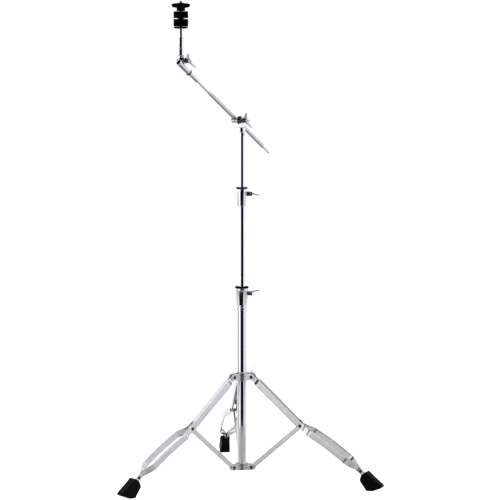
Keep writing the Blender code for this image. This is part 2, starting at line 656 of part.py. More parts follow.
def tilter_socket():
    """Cap over the boom rod's end with a toothed disc standing above it, about the tilter's pivot."""
    profile = [(0, SOCKET_START), (SOCKET_NECK_R - 0.0008, SOCKET_START)]
    profile += [(SOCKET_NECK_R, SOCKET_START + 0.0008), (SOCKET_NECK_R, SOCKET_RING)]
    profile += [(SOCKET_RING_R, SOCKET_RING + 0.0005)]
    profile += [(SOCKET_RING_R, SOCKET_RING + 0.0055), (SOCKET_R, SOCKET_RING + 0.0065)]
    profile += [(SOCKET_R, SOCKET_END - 0.003), (SOCKET_R - 0.003, SOCKET_END), (0, SOCKET_END)]
    pivot_place = (TILTER_ALONG, 0, TILTER_ABOVE)
    disc = placed(rod(TILTER_DISC_R, SOCKET_FACE, SOCKET_BACK, 24), ALONG_Y, pivot_place)
    web = box((TILTER_ALONG - 0.0102, SOCKET_FACE + 0.0004, -0.0020),
              (TILTER_ALONG + 0.0095, SOCKET_BACK - 0.0004, TILTER_ABOVE))
    room = placed(rod(TILTER_DISC_R + 0.0015, -0.0200, SOCKET_FACE + 0.0002, 22), ALONG_Y, pivot_place)
    socket = joined(cut(placed(turned(profile, 20), ALONG_X), room), web, disc)
    bore = placed(rod(ROD_R + GAP, SOCKET_START - 0.01, TILTER_ALONG - 0.0190, 16), ALONG_X)
    hole = cross_hole(TILTER_ALONG, TILTER_ABOVE, BOLT_HOLE_R)
    screw_hole = placed(rod(SET_SCREW_HOLE_R, 0.0, 0.0200, 12), None, (SET_SCREW_ALONG, 0, 0))
    return placed(cut(socket, bore, hole, screw_hole), None, (0, BOOM_OFFSET, 0))


def tilter_set_screw():
    screw = rod(SCREW_R, ROD_R + GAP, SOCKET_NECK_R + 0.0012, 12)
    return placed(screw, None, (SET_SCREW_ALONG, BOOM_OFFSET, 0))


def make_boom(post, steel, casting, plastic, felt):
    rotation = (0, -BOOM_ELEVATION, BOOM_AZIMUTH)
    yoke_frame = pivot("yoke_frame", post, (0, 0, 0), (0, 0, BOOM_AZIMUTH))
    node("top_tube", top_tube(), steel, yoke_frame)
    node("boom_yoke", boom_yoke(), casting, yoke_frame)
    node("yoke_screw", yoke_screw(), steel, yoke_frame)

    boom = pivot("boom_pivot", post, (0, 0, BOOM_PIVOT_Z), rotation)
    node("boom_holder", boom_holder(), casting, boom)
    bolt = [(0, BOOM_BOLT_START), (BOLT_R, BOOM_BOLT_START), (BOLT_R, BOOM_BOLT_TIP - 0.0010)]
    bolt += [(BOLT_R - BOLT_END, BOOM_BOLT_TIP), (0, BOOM_BOLT_TIP)]
    node("boom_clamp_bolt", placed(turned(bolt, 12), ALONG_Y), steel, boom)
    place = (0, YOKE_BACK + GAP, 0)
    wing = pivot("boom_wing_pivot", boom, place, (0, BOOM_ELEVATION + BOOM_WING_TURN, 0))
    nut = wing_nut(*BOOM_WING, BOLT_HOLE_R)
    node("boom_wing_nut", placed(nut, ALONG_Y), steel, wing)
    node("boom_sleeve", boom_sleeve(), steel, boom)
    node("boom_rod", boom_rod(), steel, boom)
    node("tilter_socket", tilter_socket(), casting, boom)
    node("tilter_set_screw", tilter_set_screw(), steel, boom)

    place = (TILTER_ALONG, BOOM_OFFSET, TILTER_ABOVE)
    tilter = pivot("tilter_pivot", boom, place, (0, BOOM_ELEVATION, 0))
    make_tilter(tilter, steel, casting, plastic, felt)


# ---------------------------------------------------------------- tilter and cymbal seat


def tilter_head():
    """Upright barrel that holds the cymbal rod, with a toothed disc about the pivot axis Y."""
    y = CYMBAL_ROD_Y
    disc = placed(rod(TILTER_DISC_R, HEAD_BACK, HEAD_FACE, 24), ALONG_Y)
    barrel = placed(turned(HEAD_BARREL, 20), None, (0, y, 0))
    bore = placed(rod(CYMBAL_ROD_R + GAP, CYMBAL_ROD_START - GAP, 0.09, 16), None, (0, y, 0))
    return cut(joined(barrel, disc), bore, cross_hole(0, 0, BOLT_HOLE_R))


def ring_at(inner, outer, low, high, chamfer, segments=24):
    profile = [(inner, low), (outer - chamfer, low), (outer, low + chamfer), (outer, high - chamfer)]
    ring = turned(profile + [(outer - chamfer, high), (inner, high)], segments, closed=True)
    return placed(ring, None, (0, CYMBAL_ROD_Y, 0))


def cymbal_sleeve():
    """Plastic sleeve round the rod, with a flange between the felts."""
    inner, outer = CYMBAL_ROD_R + GAP, CYMBAL_SLEEVE_R
    low, high, flange = SLEEVE_FLANGE
    profile = [(inner, LOWER_FELT[0]), (outer, LOWER_FELT[0]), (outer, low), (flange, low), (flange, high)]
    profile += [(outer, high), (outer, UPPER_FELT[1]), (inner, UPPER_FELT[1])]
    return placed(turned(profile, 20, closed=True), None, (0, CYMBAL_ROD_Y, 0))


def cymbal_wing_nut():
    low = UPPER_FELT[1] + GAP
    neck = rod(NUT_NECK_R, low, NUT_NECK_TOP + 0.001, 20)
    middle = (NUT_NECK_TOP + NUT_TOP) / 2
    bar = prism([(x, z + middle) for x, z in NUT_WING], -NUT_WING_HALF, NUT_WING_HALF)
    hub = rod(NUT_HUB_R, NUT_NECK_TOP - 0.001, NUT_TOP + 0.0008, 20)
    return cut(joined(neck, bar, hub), rod(CYMBAL_ROD_R + GAP, low - 0.01, NUT_TOP + 0.02, 16))


def make_tilter(tilter, steel, casting, plastic, felt):
    y = CYMBAL_ROD_Y
    node("tilter_head", tilter_head(), casting, tilter)
    seat = y - HEAD_BARREL[2][0] - GAP
    head = [(0, seat - 0.0042), (0.0035, seat - 0.0040), (BOLT_CAP_R, seat - 0.0025)]
    head += [(BOLT_CAP_R, seat), (BOLT_R, seat)]
    tip = [(BOLT_R, TILTER_BOLT_TIP - 0.0010), (BOLT_R - BOLT_END, TILTER_BOLT_TIP), (0, TILTER_BOLT_TIP)]
    bolt = turned(head + tip, 16)
    node("tilter_bolt", placed(bolt, ALONG_Y), steel, tilter)
    wing = pivot("tilter_wing_pivot", tilter, (0, SOCKET_BACK + GAP, 0), (0, TILTER_WING_TURN, 0))
    nut = wing_nut(*TILTER_WING, BOLT_HOLE_R)
    node("tilter_wing_nut", placed(nut, ALONG_Y), steel, wing)

    rod_profile = [(0, CYMBAL_ROD_START), (CYMBAL_ROD_R, CYMBAL_ROD_START)]
    rod_profile += [(CYMBAL_ROD_R, ROD_TOP - 0.0015), (CYMBAL_ROD_R - 0.0015, ROD_TOP), (0, ROD_TOP)]
    node("cymbal_rod", placed(turned(rod_profile, 16), None, (0, y, 0)), steel, tilter)

    felt_in = CYMBAL_SLEEVE_R + GAP
    node("cup_washer", ring_at(CYMBAL_ROD_R + GAP, CUP_R, CUP_BOTTOM, CUP_TOP, 0.0010), plastic, tilter)
    node("cymbal_sleeve", cymbal_sleeve(), plastic, tilter)
    node("lower_felt", ring_at(felt_in, FELT_R, *LOWER_FELT, 0.0020), felt, tilter)
    node("upper_felt", ring_at(felt_in, FELT_R, *UPPER_FELT, 0.0020), felt, tilter)
    nut_pivot = pivot("cymbal_nut_pivot", tilter, (0, y, 0), (0, 0, NUT_TURN))
    node("cymbal_wing_nut", cymbal_wing_nut(), plastic, nut_pivot)


def main():
    clear_scene()
    steel = material("chrome", (0.82, 0.83, 0.85), 1.0, 0.12)
    casting = material("plated_casting", (0.62, 0.60, 0.60), 1.0, 0.30)
    plated = material("plated_strip", (0.66, 0.67, 0.69), 1.0, 0.25)
    rubber = material("rubber", (0.02, 0.02, 0.02), 0.0, 0.65)
    plastic = material("black_plastic", (0.025, 0.025, 0.027), 0.0, 0.40)
    felt = material("felt", (0.03, 0.03, 0.03), 0.0, 0.95)

    post = pivot("post_axis", None, (0, POST_Y, POST_LIFT))
    node("base_tube", tube(BASE_BORE_R, BASE_R, BASE_BOTTOM, BASE_TOP), steel, post)
    node("lower_hub", lower_hub(), casting, post)
    band = tube(BASE_R + GAP, BASE_R + 0.0012, BAND_BOTTOM, BAND_TOP)
    node("tube_band", band, steel, post)
    for index in (1, 2, 3):
        make_leg(index, post, steel, plated, rubber)
    make_collar(post, steel, casting)
    lower = (LOWER_CLAMP, BASE_R + GAP, MIDDLE_R, LOWER_BUSHING, LOWER_WING_TURN)
    make_clamp("lower", *lower, post, steel, plastic)
    upper = (UPPER_CLAMP, MIDDLE_R + GAP, TOP_R, UPPER_BUSHING, UPPER_WING_TURN)
    make_clamp("upper", *upper, post, steel, plastic)
    node("middle_tube", tube(MIDDLE_BORE_R, MIDDLE_R, MIDDLE_BOTTOM, MIDDLE_TOP), steel, post)
    make_boom(post, steel, casting, plastic, felt)


main()
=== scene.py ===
"""Looks of the cymbal boom stand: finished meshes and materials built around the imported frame.

Lengths are metres in the frame's own coordinates, +Z up.
"""

import math

import bmesh
import bpy
from mathutils import Euler, Matrix, Vector, noise


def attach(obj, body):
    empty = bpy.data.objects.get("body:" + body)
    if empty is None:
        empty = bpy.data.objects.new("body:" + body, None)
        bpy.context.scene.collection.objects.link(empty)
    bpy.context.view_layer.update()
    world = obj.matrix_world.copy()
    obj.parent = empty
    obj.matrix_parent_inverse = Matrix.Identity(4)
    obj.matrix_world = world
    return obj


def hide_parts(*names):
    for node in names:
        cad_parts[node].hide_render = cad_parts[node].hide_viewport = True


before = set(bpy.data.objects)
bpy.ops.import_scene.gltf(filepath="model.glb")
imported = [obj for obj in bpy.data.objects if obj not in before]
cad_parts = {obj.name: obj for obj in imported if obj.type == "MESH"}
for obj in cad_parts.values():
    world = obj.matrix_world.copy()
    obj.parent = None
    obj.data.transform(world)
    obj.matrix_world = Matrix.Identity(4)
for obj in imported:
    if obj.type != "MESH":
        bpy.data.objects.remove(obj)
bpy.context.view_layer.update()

# ---- sizes, as in the CAD

GAP = 0.0003
POST_Y = -0.0955  # the post stands behind the outline's centre, because one leg points along +Y
POST_LIFT = 0.003  # heights below are measured from this level

# Tripod linkage: radius and height of the pivots in each leg's upright plane
LEG_AZIMUTHS = (90, 210, 330)
PIVOT_R = 0.030
HUB_PIVOT_Z = 0.0330
COLLAR_PIVOT_Z = 0.2790
KNEE_R = 0.170
KNEE_Z = (HUB_PIVOT_Z + COLLAR_PIVOT_Z) / 2
LINK = math.hypot(KNEE_R - PIVOT_R, COLLAR_PIVOT_Z - KNEE_Z)

# Leg strips
STRIP_T = 0.0018
STRIP_HALF = 0.0092
END_HALF = 0.0066
TAB_HALF = 0.0072
STRIP_NARROW = 0.0033
STRIP_WIDE = 0.0062
FLANGE = 0.0028
BOW = 0.0150
SHOULDER = 0.014
FOOT_U, FOOT_Z = 0.345, 0.041
KNEE_SLOPE = math.radians(25)
FOOT_SLOPE = math.radians(41)
TAB_LENGTH = 0.014
FOOT_RIVET_BACK = 0.008
STRIP_BEND = 0.0013
LIP = 0.0014

# Rubber foot, as (distance from the post, height) round its side view, and its half widths
BOOT_SIDE = (
    (0.3385, 0.0230), (0.3425, 0.0370), (0.3570, 0.0480), (0.3990, 0.0140), (0.4020, 0.0095),
    (0.3980, 0.0060), (0.3740, -0.0030), (0.3590, -0.0030),
)
BOOT_HALF = 0.0145
BOOT_MOUTH, BOOT_MOUTH_SHARE = 0.350, 0.76
BOOT_TOE, BOOT_TOE_SHARE = 0.390, 0.84
BOOT_EDGE = 0.0022
SOLE_GROOVES = (0.3620, 0.3660, 0.3700)
GROOVE_WIDTH, GROOVE_TOP = 0.0018, -0.0018

# Rivets and their holes
RIVET_R = 0.0020
RIVET_HOLE_R = 0.0023
RIVET_HEAD_R = 0.0046
RIVET_HEAD_T = 0.0020

STRUT_HALF_T = 0.0025
STRUT_HALF_H = 0.0065
STRUT_BOSS_R, STRUT_BOSS_HALF = 0.0052, 0.0055
EAR_T = 0.0030

# Tubes
BASE_R, BASE_BORE_R = 0.0127, 0.0115
MIDDLE_R, MIDDLE_BORE_R = 0.0111, 0.0101
TOP_R, TOP_BORE_R = 0.009525, 0.0083
BASE_BOTTOM, BASE_TOP = 0.0264, 0.5000
MIDDLE_BOTTOM, MIDDLE_TOP = 0.3150, 0.7680
TOP_BOTTOM, TOP_TOP = 0.5750, 0.9350

HUB_BOTTOM, HUB_TOP, HUB_R = 0.0242, 0.0440, 0.0166
HUB_FLOOR = 0.0019
HUB_EAR_R = 0.0085
COLLAR_BOTTOM, COLLAR_TOP, COLLAR_R = 0.2685, 0.2905, 0.0162
COLLAR_EAR_R = 0.0086
COLLAR_SCREW_AZIMUTH = 30
COLLAR_SCREW_Z = 0.2810
COLLAR_SCREW_SEAT = 0.0270
COLLAR_BOSS_R, COLLAR_BOSS_START, COLLAR_BOSS_END = 0.0068, 0.0140, 0.0225
BAND_BOTTOM, BAND_TOP, BAND_T = 0.4590, 0.4660, 0.0012

# Height clamps: bottom, top of the housing, top of the bushing's flange, and the outer radii
LOWER_CLAMP = (0.4715, 0.5175, 0.5225, 0.0146, 0.0176, 0.0182)
UPPER_CLAMP = (0.7375, 0.7840, 0.7885, 0.0130, 0.0146, 0.0154)
CLAMP_AZIMUTH = -8
CLAMP_BOLT_OFFSET = 0.0225
CLAMP_BOLT_DROP = 0.0130
CLAMP_EAR_FACE = 0.0062
EAR_HALF_GAP = 0.0008

# Clearance holes, shanks and threads shared by the M6 bolts
BOLT_R, BOLT_HOLE_R, NUT_BORE_R = 0.0030, 0.0033, 0.0031
THREAD_PITCH, BOLT_THREAD_DEPTH, SCREW_THREAD_DEPTH = 0.0010, 0.00045, 0.0004
CUTTER_REACH = 0.03  # half length of the tools that cut right through a piece

# Small screws: radius of the shank and of its hole
SCREW_R, YOKE_SCREW_HOLE_R, SET_SCREW_HOLE_R = 0.0020, 0.0024, 0.0023
YOKE_SCREW_TIP, YOKE_SCREW_HEAD_R = 0.0050, 0.0036
HEX_KEY_R = 0.0011

# Wing nuts and wing bolts: span, hub radius, hub length, and where the wings start and end along the axis
COLLAR_WING = (0.044, 0.0062, 0.0120, 0.0020, 0.0165)
CLAMP_WING = (0.056, 0.0058, 0.0180, 0.0130, 0.0205)
BOOM_WING = (0.048, 0.0070, 0.0150, 0.0050, 0.0210)
TILTER_WING = (0.048, 0.0070, 0.0150, 0.0060, 0.0220)
WING_T = 0.0040
CLAMP_SHANK = 0.0190

# How far each wing is turned about its axis, in degrees
LOWER_WING_TURN, UPPER_WING_TURN, BOOM_WING_TURN, TILTER_WING_TURN = 10, -15, -57, -48

# Plastic bushings' length inside the clamps, and the clamps' square nuts
LOWER_BUSHING, UPPER_BUSHING = 0.0170, 0.0155
SQUARE_NUT_HALF, SQUARE_NUT_T = 0.0055, 0.0048

# Boom: the pivot's height on the post, the boom's direction and its offset beside the post
BOOM_PIVOT_Z = 0.9660
BOOM_AZIMUTH = 228.4
BOOM_ELEVATION = 31.0
BOOM_OFFSET = -0.0170
SLEEVE_R, SLEEVE_START, SLEEVE_END = 0.0053, -0.1485, 0.149
ROD_R, ROD_START = 0.0041, -0.184
DISC_R = 0.0112
HOLDER_R, HOLDER_FAR = 0.0092, -0.0290
HOLDER_FACE, YOKE_FACE, YOKE_BACK = -0.0038, -0.0035, 0.0040
YOKE_NECK = 0.0135
YOKE_SCREW_AZIMUTH = 75.7
YOKE_SCREW_DROP = 0.0055
BOOM_BOLT_START, BOOM_BOLT_TIP = -0.0078, 0.0260

# Ratchet discs: where their teeth start, their depth, and the teeth on the boom's and the tilter's discs
TEETH_R, TEETH_DEPTH = 0.0050, 0.0008
BOOM_TEETH, TILTER_TEETH = 30, 28

# Tilter socket along the boom: a narrow neck on the rod, a ring and a thicker end under the tilter's pivot
SOCKET_START, SOCKET_RING, SOCKET_END = 0.2130, 0.2535, 0.3070
SOCKET_NECK_R, SOCKET_RING_R, SOCKET_R = 0.0066, 0.0090, 0.0085
SOCKET_RING_T = 0.0060
SET_SCREW_ALONG = 0.2264
TILTER_ALONG, TILTER_ABOVE = 0.2910, 0.0142
TILTER_DISC_R = 0.0110
HEAD_FACE, SOCKET_FACE, SOCKET_BACK = 0.0011, 0.0014, 0.0064
HEAD_BACK = -0.0060
TILTER_BOLT_TIP = 0.0272

# Painted shade: the radii between which the dark second material paints shade over the discs' rims, the
# socket's ring and the wing nuts' hubs
YOKE_SHADE_RIM = (DISC_R * 0.85, DISC_R * 1.02)
HOLDER_SHADE_RIM = (DISC_R * 0.70, DISC_R * 1.02)
TILTER_SHADE_RIM = (TILTER_DISC_R * 0.85, TILTER_DISC_R * 1.02)
RING_SHADE_RIM = (SOCKET_NECK_R + GAP, 0.02)
HUB_SHADE_RIM = (0.0045, 0.0082)
CAST_EDGE = 0.00025  # bevel along the edges of the boom's castings
HUB_PAINTED_SHADE = (0.0005, 0.0120)  # the stretch of a wing nut's hub that gets painted shade

# Tilter head and cymbal seat, as heights above the tilter's pivot, on a rod beside it
CYMBAL_ROD_Y = -0.0073
HEAD_BARREL = ((0.0, -0.0100), (0.0062, -0.0100), (0.0078, -0.0085), (0.0078, 0.0115), (0.0092, 0.0135),
               (0.0092, 0.0290), (0.0098, 0.0293), (0.0098, 0.0311), (0.0082, 0.0314), (0.0082, 0.0566),
               (0.0077, 0.0571), (0.0, 0.0571))
CYMBAL_ROD_START = 0.0259
CYMBAL_ROD_R = 0.0030
CUP_R, CUP_BOTTOM, CUP_TOP = 0.0178, 0.0808, 0.0859
FELT_R = 0.0190
LOWER_FELT = (0.0862, 0.1057)
UPPER_FELT = (0.1073, 0.1252)
SLEEVE_FLANGE = (0.1059, 0.1071, 0.0105)
NUT_NECK_R, NUT_NECK_TOP, NUT_TOP, ROD_TOP = 0.0110, 0.1331, 0.1459, 0.1514
NUT_TURN = -56.3
NUT_WING = ((-0.0245, 0.0008), (-0.0225, 0.0042), (-0.0160, 0.0063), (0.0160, 0.0063), (0.0225, 0.0042),
            (0.0245, 0.0008), (0.0204, -0.0063), (-0.0204, -0.0063))
NUT_WING_HALF = 0.0052
NUT_HUB_R = 0.0085
CYMBAL_SLEEVE_R = 0.0060

# Camera: its heading and downward tilt in degrees, and its place beside, behind and above the post's foot
CAMERA_HEADING, CAMERA_DOWN = -7.92, 6.24
CAMERA_BESIDE, CAMERA_BACK, CAMERA_HEIGHT = 0.0219, 5.70, 1.243
CAMERA_LENS = 154.6
FLOOR_R = 1.1

ALONG_Y = Matrix.Rotation(-math.pi / 2, 4, "X")
ALONG_X = Matrix.Rotation(math.pi / 2, 4, "Y")

# Segments round tubes, castings, rods and small holes
SMOOTH = 96
FINE = 64
ROUND = 40
SMALL = 24


# ---- frames


def shift(x=0.0, y=0.0, z=0.0):
    return Matrix.Translation((x, y, z))


def turn(degrees, axis):
    return Matrix.Rotation(math.radians(degrees), 4, axis)


POST = shift(0, POST_Y, POST_LIFT)
CLAMP_FRAME = POST @ turn(CLAMP_AZIMUTH, "Z")
YOKE_FRAME = POST @ turn(BOOM_AZIMUTH, "Z")
BOOM_FRAME = POST @ shift(0, 0, BOOM_PIVOT_Z) @ Euler(
    (0, math.radians(-BOOM_ELEVATION), math.radians(BOOM_AZIMUTH))
).to_matrix().to_4x4()
TILTER_FRAME = BOOM_FRAME @ shift(TILTER_ALONG, BOOM_OFFSET, TILTER_ABOVE) @ turn(BOOM_ELEVATION, "Y")
SEAT_FRAME = TILTER_FRAME @ shift(0, CYMBAL_ROD_Y, 0)


def leg_frame(index):
    return POST @ turn(LEG_AZIMUTHS[index - 1], "Z")


# ---- mesh shapes


def face_outward(bm):
    bmesh.ops.recalc_face_normals(bm, faces=bm.faces)
    if bm.calc_volume(signed=True) < 0:
        bmesh.ops.reverse_faces(bm, faces=bm.faces)
    return bm


def turned(profile, segments=FINE, closed=False):
    """Turns (radius, height) points about Z. An open profile starts and ends on the axis."""
    bm = bmesh.new()
    verts = [bm.verts.new((radius, 0, height)) for radius, height in profile]
    edges = [bm.edges.new(pair) for pair in zip(verts, verts[1:])]
    if closed:
        edges.append(bm.edges.new((verts[-1], verts[0])))
    bmesh.ops.spin(
        bm, geom=verts + edges, cent=(0, 0, 0), axis=(0, 0, 1), angle=math.tau, steps=segments, use_merge=True
    )
    bmesh.ops.remove_doubles(bm, verts=bm.verts, dist=1e-7)
    return face_outward(bm)


def corner(centre, radius, start, end, steps=4):
    """Points of a rounded corner in a profile, from angle start to end in degrees."""
    angles = [math.radians(start + (end - start) * i / steps) for i in range(steps + 1)]
    return [(centre[0] + radius * math.cos(a), centre[1] + radius * math.sin(a)) for a in angles]


def low_edge(radius, height, edge, steps=4):
    return corner((radius - edge, height + edge), edge, -90, 0, steps)


def high_edge(radius, height, edge, steps=4):
    return corner((radius - edge, height - edge), edge, 0, 90, steps)


def rod(radius, start, end, segments=ROUND, edge=0.0004):
    if edge <= 0:
        return turned([(0, start), (radius, start), (radius, end), (0, end)], segments)
    low = low_edge(radius, start, edge)
    high = high_edge(radius, end, edge)
    side = straight_side(radius, start, end, edge)
    return turned([(0, start)] + low + side + high + [(0, end)], segments)


def straight_side(radius, low, high, edge):
    """Two points just inside rounded edges. They keep the side between them shaded straight."""
    if high - low < 8 * edge:
        return []
    return [(radius, low + 2 * edge), (radius, high - 2 * edge)]


def ring(inner, outer, low, high, edge, segments=FINE):
    """A tube with rounded edges outside and inside."""
    rim = min(edge, (outer - inner) * 0.45)
    profile = corner((inner + rim, low + rim), rim, 180, 270)
    profile += low_edge(outer, low, edge) + straight_side(outer, low, high, edge)
    profile += high_edge(outer, high, edge)
    profile += corner((inner + rim, high - rim), rim, 90, 180)
    return turned(profile, segments, closed=True)


def prism(outline, start, end):
    """Extrudes an outline of (x, z) points along Y."""
    bm = bmesh.new()
    face = bm.faces.new([bm.verts.new((x, start, z)) for x, z in outline])
    extruded = bmesh.ops.extrude_face_region(bm, geom=[face])["geom"]
    side = [item for item in extruded if isinstance(item, bmesh.types.BMVert)]
    bmesh.ops.translate(bm, verts=side, vec=(0, end - start, 0))
    return face_outward(bm)


def box(low, high):
    (x0, y0, z0), (x1, y1, z1) = low, high
    return prism([(x0, z0), (x1, z0), (x1, z1), (x0, z1)], y0, y1)


def loft(rings):
    """Joins rings of equally many points into one closed body."""
    bm = bmesh.new()
    loops = [[bm.verts.new(point) for point in points] for points in rings]
    count = len(loops[0])
    for first, second in zip(loops, loops[1:]):
        for i in range(count):
            j = (i + 1) % count
            bm.faces.new((first[i], first[j], second[j], second[i]))
    bm.faces.new(loops[0])
    bm.faces.new(loops[-1])
    return face_outward(bm)


def placed(bm, *matrices):
    for matrix in matrices:
        bmesh.ops.transform(bm, matrix=matrix, verts=bm.verts)
    return bm


def new_object(name, bm):
    """An object in the scene with bm's mesh. The bmesh is freed."""
    mesh = bpy.data.meshes.new(name)
    bm.to_mesh(mesh)
    bm.free()
    obj = bpy.data.objects.new(name, mesh)
    bpy.context.scene.collection.objects.link(obj)
    return obj


def add_modifier(obj, kind, **settings):
    modifier = obj.modifiers.new(kind.lower(), kind)
    for name, value in settings.items():
        setattr(modifier, name, value)


def evaluated(obj):
    """The object's mesh after its modifiers, as a bmesh. The object is removed."""
    result = bmesh.new()
    result.from_object(obj, bpy.context.evaluated_depsgraph_get())
    bpy.data.objects.remove(obj, do_unlink=True)
    return result


def combined(base, tool, operation):
    target, other = new_object("working", base), new_object("working", tool)
    add_modifier(target, "BOOLEAN", operation=operation, solver="EXACT", object=other)
    result = evaluated(target)
    bpy.data.objects.remove(other, do_unlink=True)
    bmesh.ops.remove_doubles(result, verts=result.verts, dist=1e-6)
    bmesh.ops.dissolve_limit(result, angle_limit=math.radians(0.3), verts=result.verts, edges=result.edges)
    return result


def joined(base, *tools):
    for tool in tools:
        base = combined(base, tool, "UNION")
    return base


def cut(base, *tools):
    for tool in tools:
        base = combined(base, tool, "DIFFERENCE")
    return base


def cast_form(bm, voxel, rounds, keep):
    """Softens a hard-edged body into one with small fillets, as a casting or moulding has."""
    obj = new_object("working", bm)
    add_modifier(obj, "REMESH", mode="VOXEL", voxel_size=voxel)
    add_modifier(obj, "SMOOTH", factor=0.5, iterations=rounds)
    add_modifier(obj, "DECIMATE", ratio=keep)
    return evaluated(obj)


def rounded_bar(x0, x1, radius):
    """Outline of a bar from x0 to x1 along X with round ends."""
    return corner((x1, 0), radius, 90, -90, 16) + corner((x0, 0), radius, 270, 90, 16)


def smooth(value, start, end):
    share = min(max((value - start) / (end - start), 0), 1)
    return share * share * (3 - 2 * share)


def corner_cut(points, rounds=3):
    """Rounds a closed outline by cutting its corners."""
    for _ in range(rounds):
        cut_points = []
        for (ax, az), (bx, bz) in zip(points, points[1:] + points[:1]):
            cut_points.append((ax * 0.75 + bx * 0.25, az * 0.75 + bz * 0.25))
            cut_points.append((ax * 0.25 + bx * 0.75, az * 0.25 + bz * 0.75))
        points = cut_points
    return points


def surface_of_turns(radius_at, start, end, step, segments):
    """A closed body about Z whose radius varies with angle and height."""
    count = max(2, round((end - start) / step))
    angles = [math.tau * i / segments for i in range(segments)]
    rings = []
    for k in range(count + 1):
        z = start + (end - start) * k / count
        around = [(a, radius_at(a, z)) for a in angles]
        rings.append([(r * math.cos(a), r * math.sin(a), z) for a, r in around])
    return loft(rings)


def threaded(radius, start, end, depth):
    """A threaded length with a lead-in at its free end."""

    def radius_at(angle, z):
        turns = (z / THREAD_PITCH - angle / math.tau) % 1
        groove = abs(2 * turns - 1)
        lead = min(1, (end - z) / (THREAD_PITCH * 0.9)) * min(1, (z - start) / THREAD_PITCH + 0.2)
        return radius - depth * max(groove, 1 - lead)

    return surface_of_turns(radius_at, start, end, THREAD_PITCH / 8, SMALL)


def toothed_disc(radius, face, back, teeth):
    """A disc about Z with radial teeth cut into its face at z = face, and a flat back."""
    bm = bmesh.new()
    drop_in = TEETH_DEPTH if face > back else -TEETH_DEPTH
    count = teeth * 4
    levels = (0.0, -drop_in, -drop_in, 0.0)
    outer_face, inner_face, outer_back = [], [], []
    for i in range(count):
        a = math.tau * i / count
        c, s = math.cos(a), math.sin(a)
        drop = levels[i % 4]
        outer_face.append(bm.verts.new((radius * c, radius * s, face + drop)))
        inner_face.append(bm.verts.new((TEETH_R * c, TEETH_R * s, face + drop * TEETH_R / radius)))
        outer_back.append(bm.verts.new((radius * c, radius * s, back)))
    centre = bm.verts.new((0, 0, face - drop_in * 0.3))
    for i in range(count):
        j = (i + 1) % count
        bm.faces.new((outer_face[i], outer_face[j], inner_face[j], inner_face[i]))
        bm.faces.new((inner_face[i], inner_face[j], centre))
        bm.faces.new((outer_face[j], outer_face[i], outer_back[i], outer_back[j]))
    bm.faces.new(outer_back)
    return face_outward(bm)


# ---- pieces


def rim_painted_shade(bm, low, high, radii, centre=(0.0, 0.0), axis=1):
    """Paints shade, in the dark second material, on faces from low to high along an axis (0 X, 1 Y, 2 Z) and
    between two radii.
    """
    across = [i for i in range(3) if i != axis]
    for face in bm.faces:
        place = face.calc_center_median()
        radius = math.hypot(place[across[0]] - centre[0], place[across[1]] - centre[1])
        if low <= place[axis] <= high and radii[0] < radius < radii[1]:
            face.material_index = 1
    return bm


def piece(name, bm, mat, body, *nodes, at=POST, bevel=0.0, steps=2, sharp=35, limit=30):
    """A finished mesh, placed in the frame's coordinates, that rides on a body and stands for CAD nodes."""
    placed(bm, at)
    obj = new_object(name, bm)
    mesh = obj.data
    mesh.materials.append(mat)
    # Faces marked 1 take the dark rivet plating as painted shade.
    if any(polygon.material_index for polygon in mesh.polygons):
        mesh.materials.append(RIVET_PLATING_AND_PAINTED_SHADE)
    mesh.shade_smooth()
    mesh.set_sharp_from_angle(angle=math.radians(sharp))
    if bevel:
        add_modifier(obj, "BEVEL", width=bevel, segments=steps, limit_method="ANGLE",
                     angle_limit=math.radians(limit), harden_normals=False)
        add_modifier(obj, "WEIGHTED_NORMAL", keep_sharp=False)
    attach(obj, body)
    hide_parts(*nodes)
    return obj


# ---- materials


def add_node(tree, kind, inputs, **settings):
    """Adds a shader node. An input is a value, or another node's output to link."""
    node = tree.nodes.new(f"ShaderNode{kind}")
    for name, value in settings.items():
        setattr(node, name, value)
    for name, value in inputs.items():
        if isinstance(value, bpy.types.NodeSocket):
            tree.links.new(value, node.inputs[name])
        else:
            node.inputs[name].default_value = value
    return node


class Look:
    """A procedural material: a Principled shader fed by noise in the object's own metres."""

    def __init__(self, name, slot, color, metallic, roughness):
        self.mat = bpy.data.materials.new(name)
        self.mat.use_nodes = True
        self.mat["slot"] = slot
        self.tree = self.mat.node_tree
        self.shader = self.tree.nodes["Principled BSDF"]
        self.shader.inputs["Base Color"].default_value = (*color, 1)
        self.shader.inputs["Metallic"].default_value = metallic
        self.shader.inputs["Roughness"].default_value = roughness
        self.coordinates = add_node(self.tree, "TexCoord", {}).outputs["Object"]

    def noise(self, per_metre, detail, stretch=(1, 1, 1), roughness=0.55):
        mapping = add_node(self.tree, "Mapping", {"Scale": stretch, "Vector": self.coordinates})
        inputs = {"Scale": per_metre, "Detail": detail, "Roughness": roughness}
        inputs["Vector"] = mapping.outputs["Vector"]
        return add_node(self.tree, "TexNoise", inputs).outputs["Fac"]

    def ranged(self, value, low, high):
        """Spreads the middle of a noise's values, which holds nearly all of them, from low to high."""
        inputs = {"Value": value, "From Min": 0.3, "From Max": 0.7, "To Min": low, "To Max": high}
        return add_node(self.tree, "MapRange", inputs).outputs["Result"]

    def mottled(self, value, first, second):
        """Lets the base colour drift between two colours."""
        inputs = {"A": (*first, 1), "B": (*second, 1), "Factor": self.ranged(value, 0, 1)}
        mix = add_node(self.tree, "Mix", inputs, data_type="RGBA")
        self.tree.links.new(mix.outputs["Result"], self.shader.inputs["Base Color"])

    def worn(self, value, low, high):
        """Lets the roughness drift from low to high."""
        self.tree.links.new(self.ranged(value, low, high), self.shader.inputs["Roughness"])

    def bump(self, value, height, strength):
        """Adds a bump to those that the surface has."""
        inputs = {"Strength": strength, "Distance": height, "Height": value}
        normal = self.shader.inputs["Normal"]
        if normal.links:
            inputs["Normal"] = normal.links[0].from_socket
        self.tree.links.new(add_node(self.tree, "Bump", inputs).outputs["Normal"], normal)


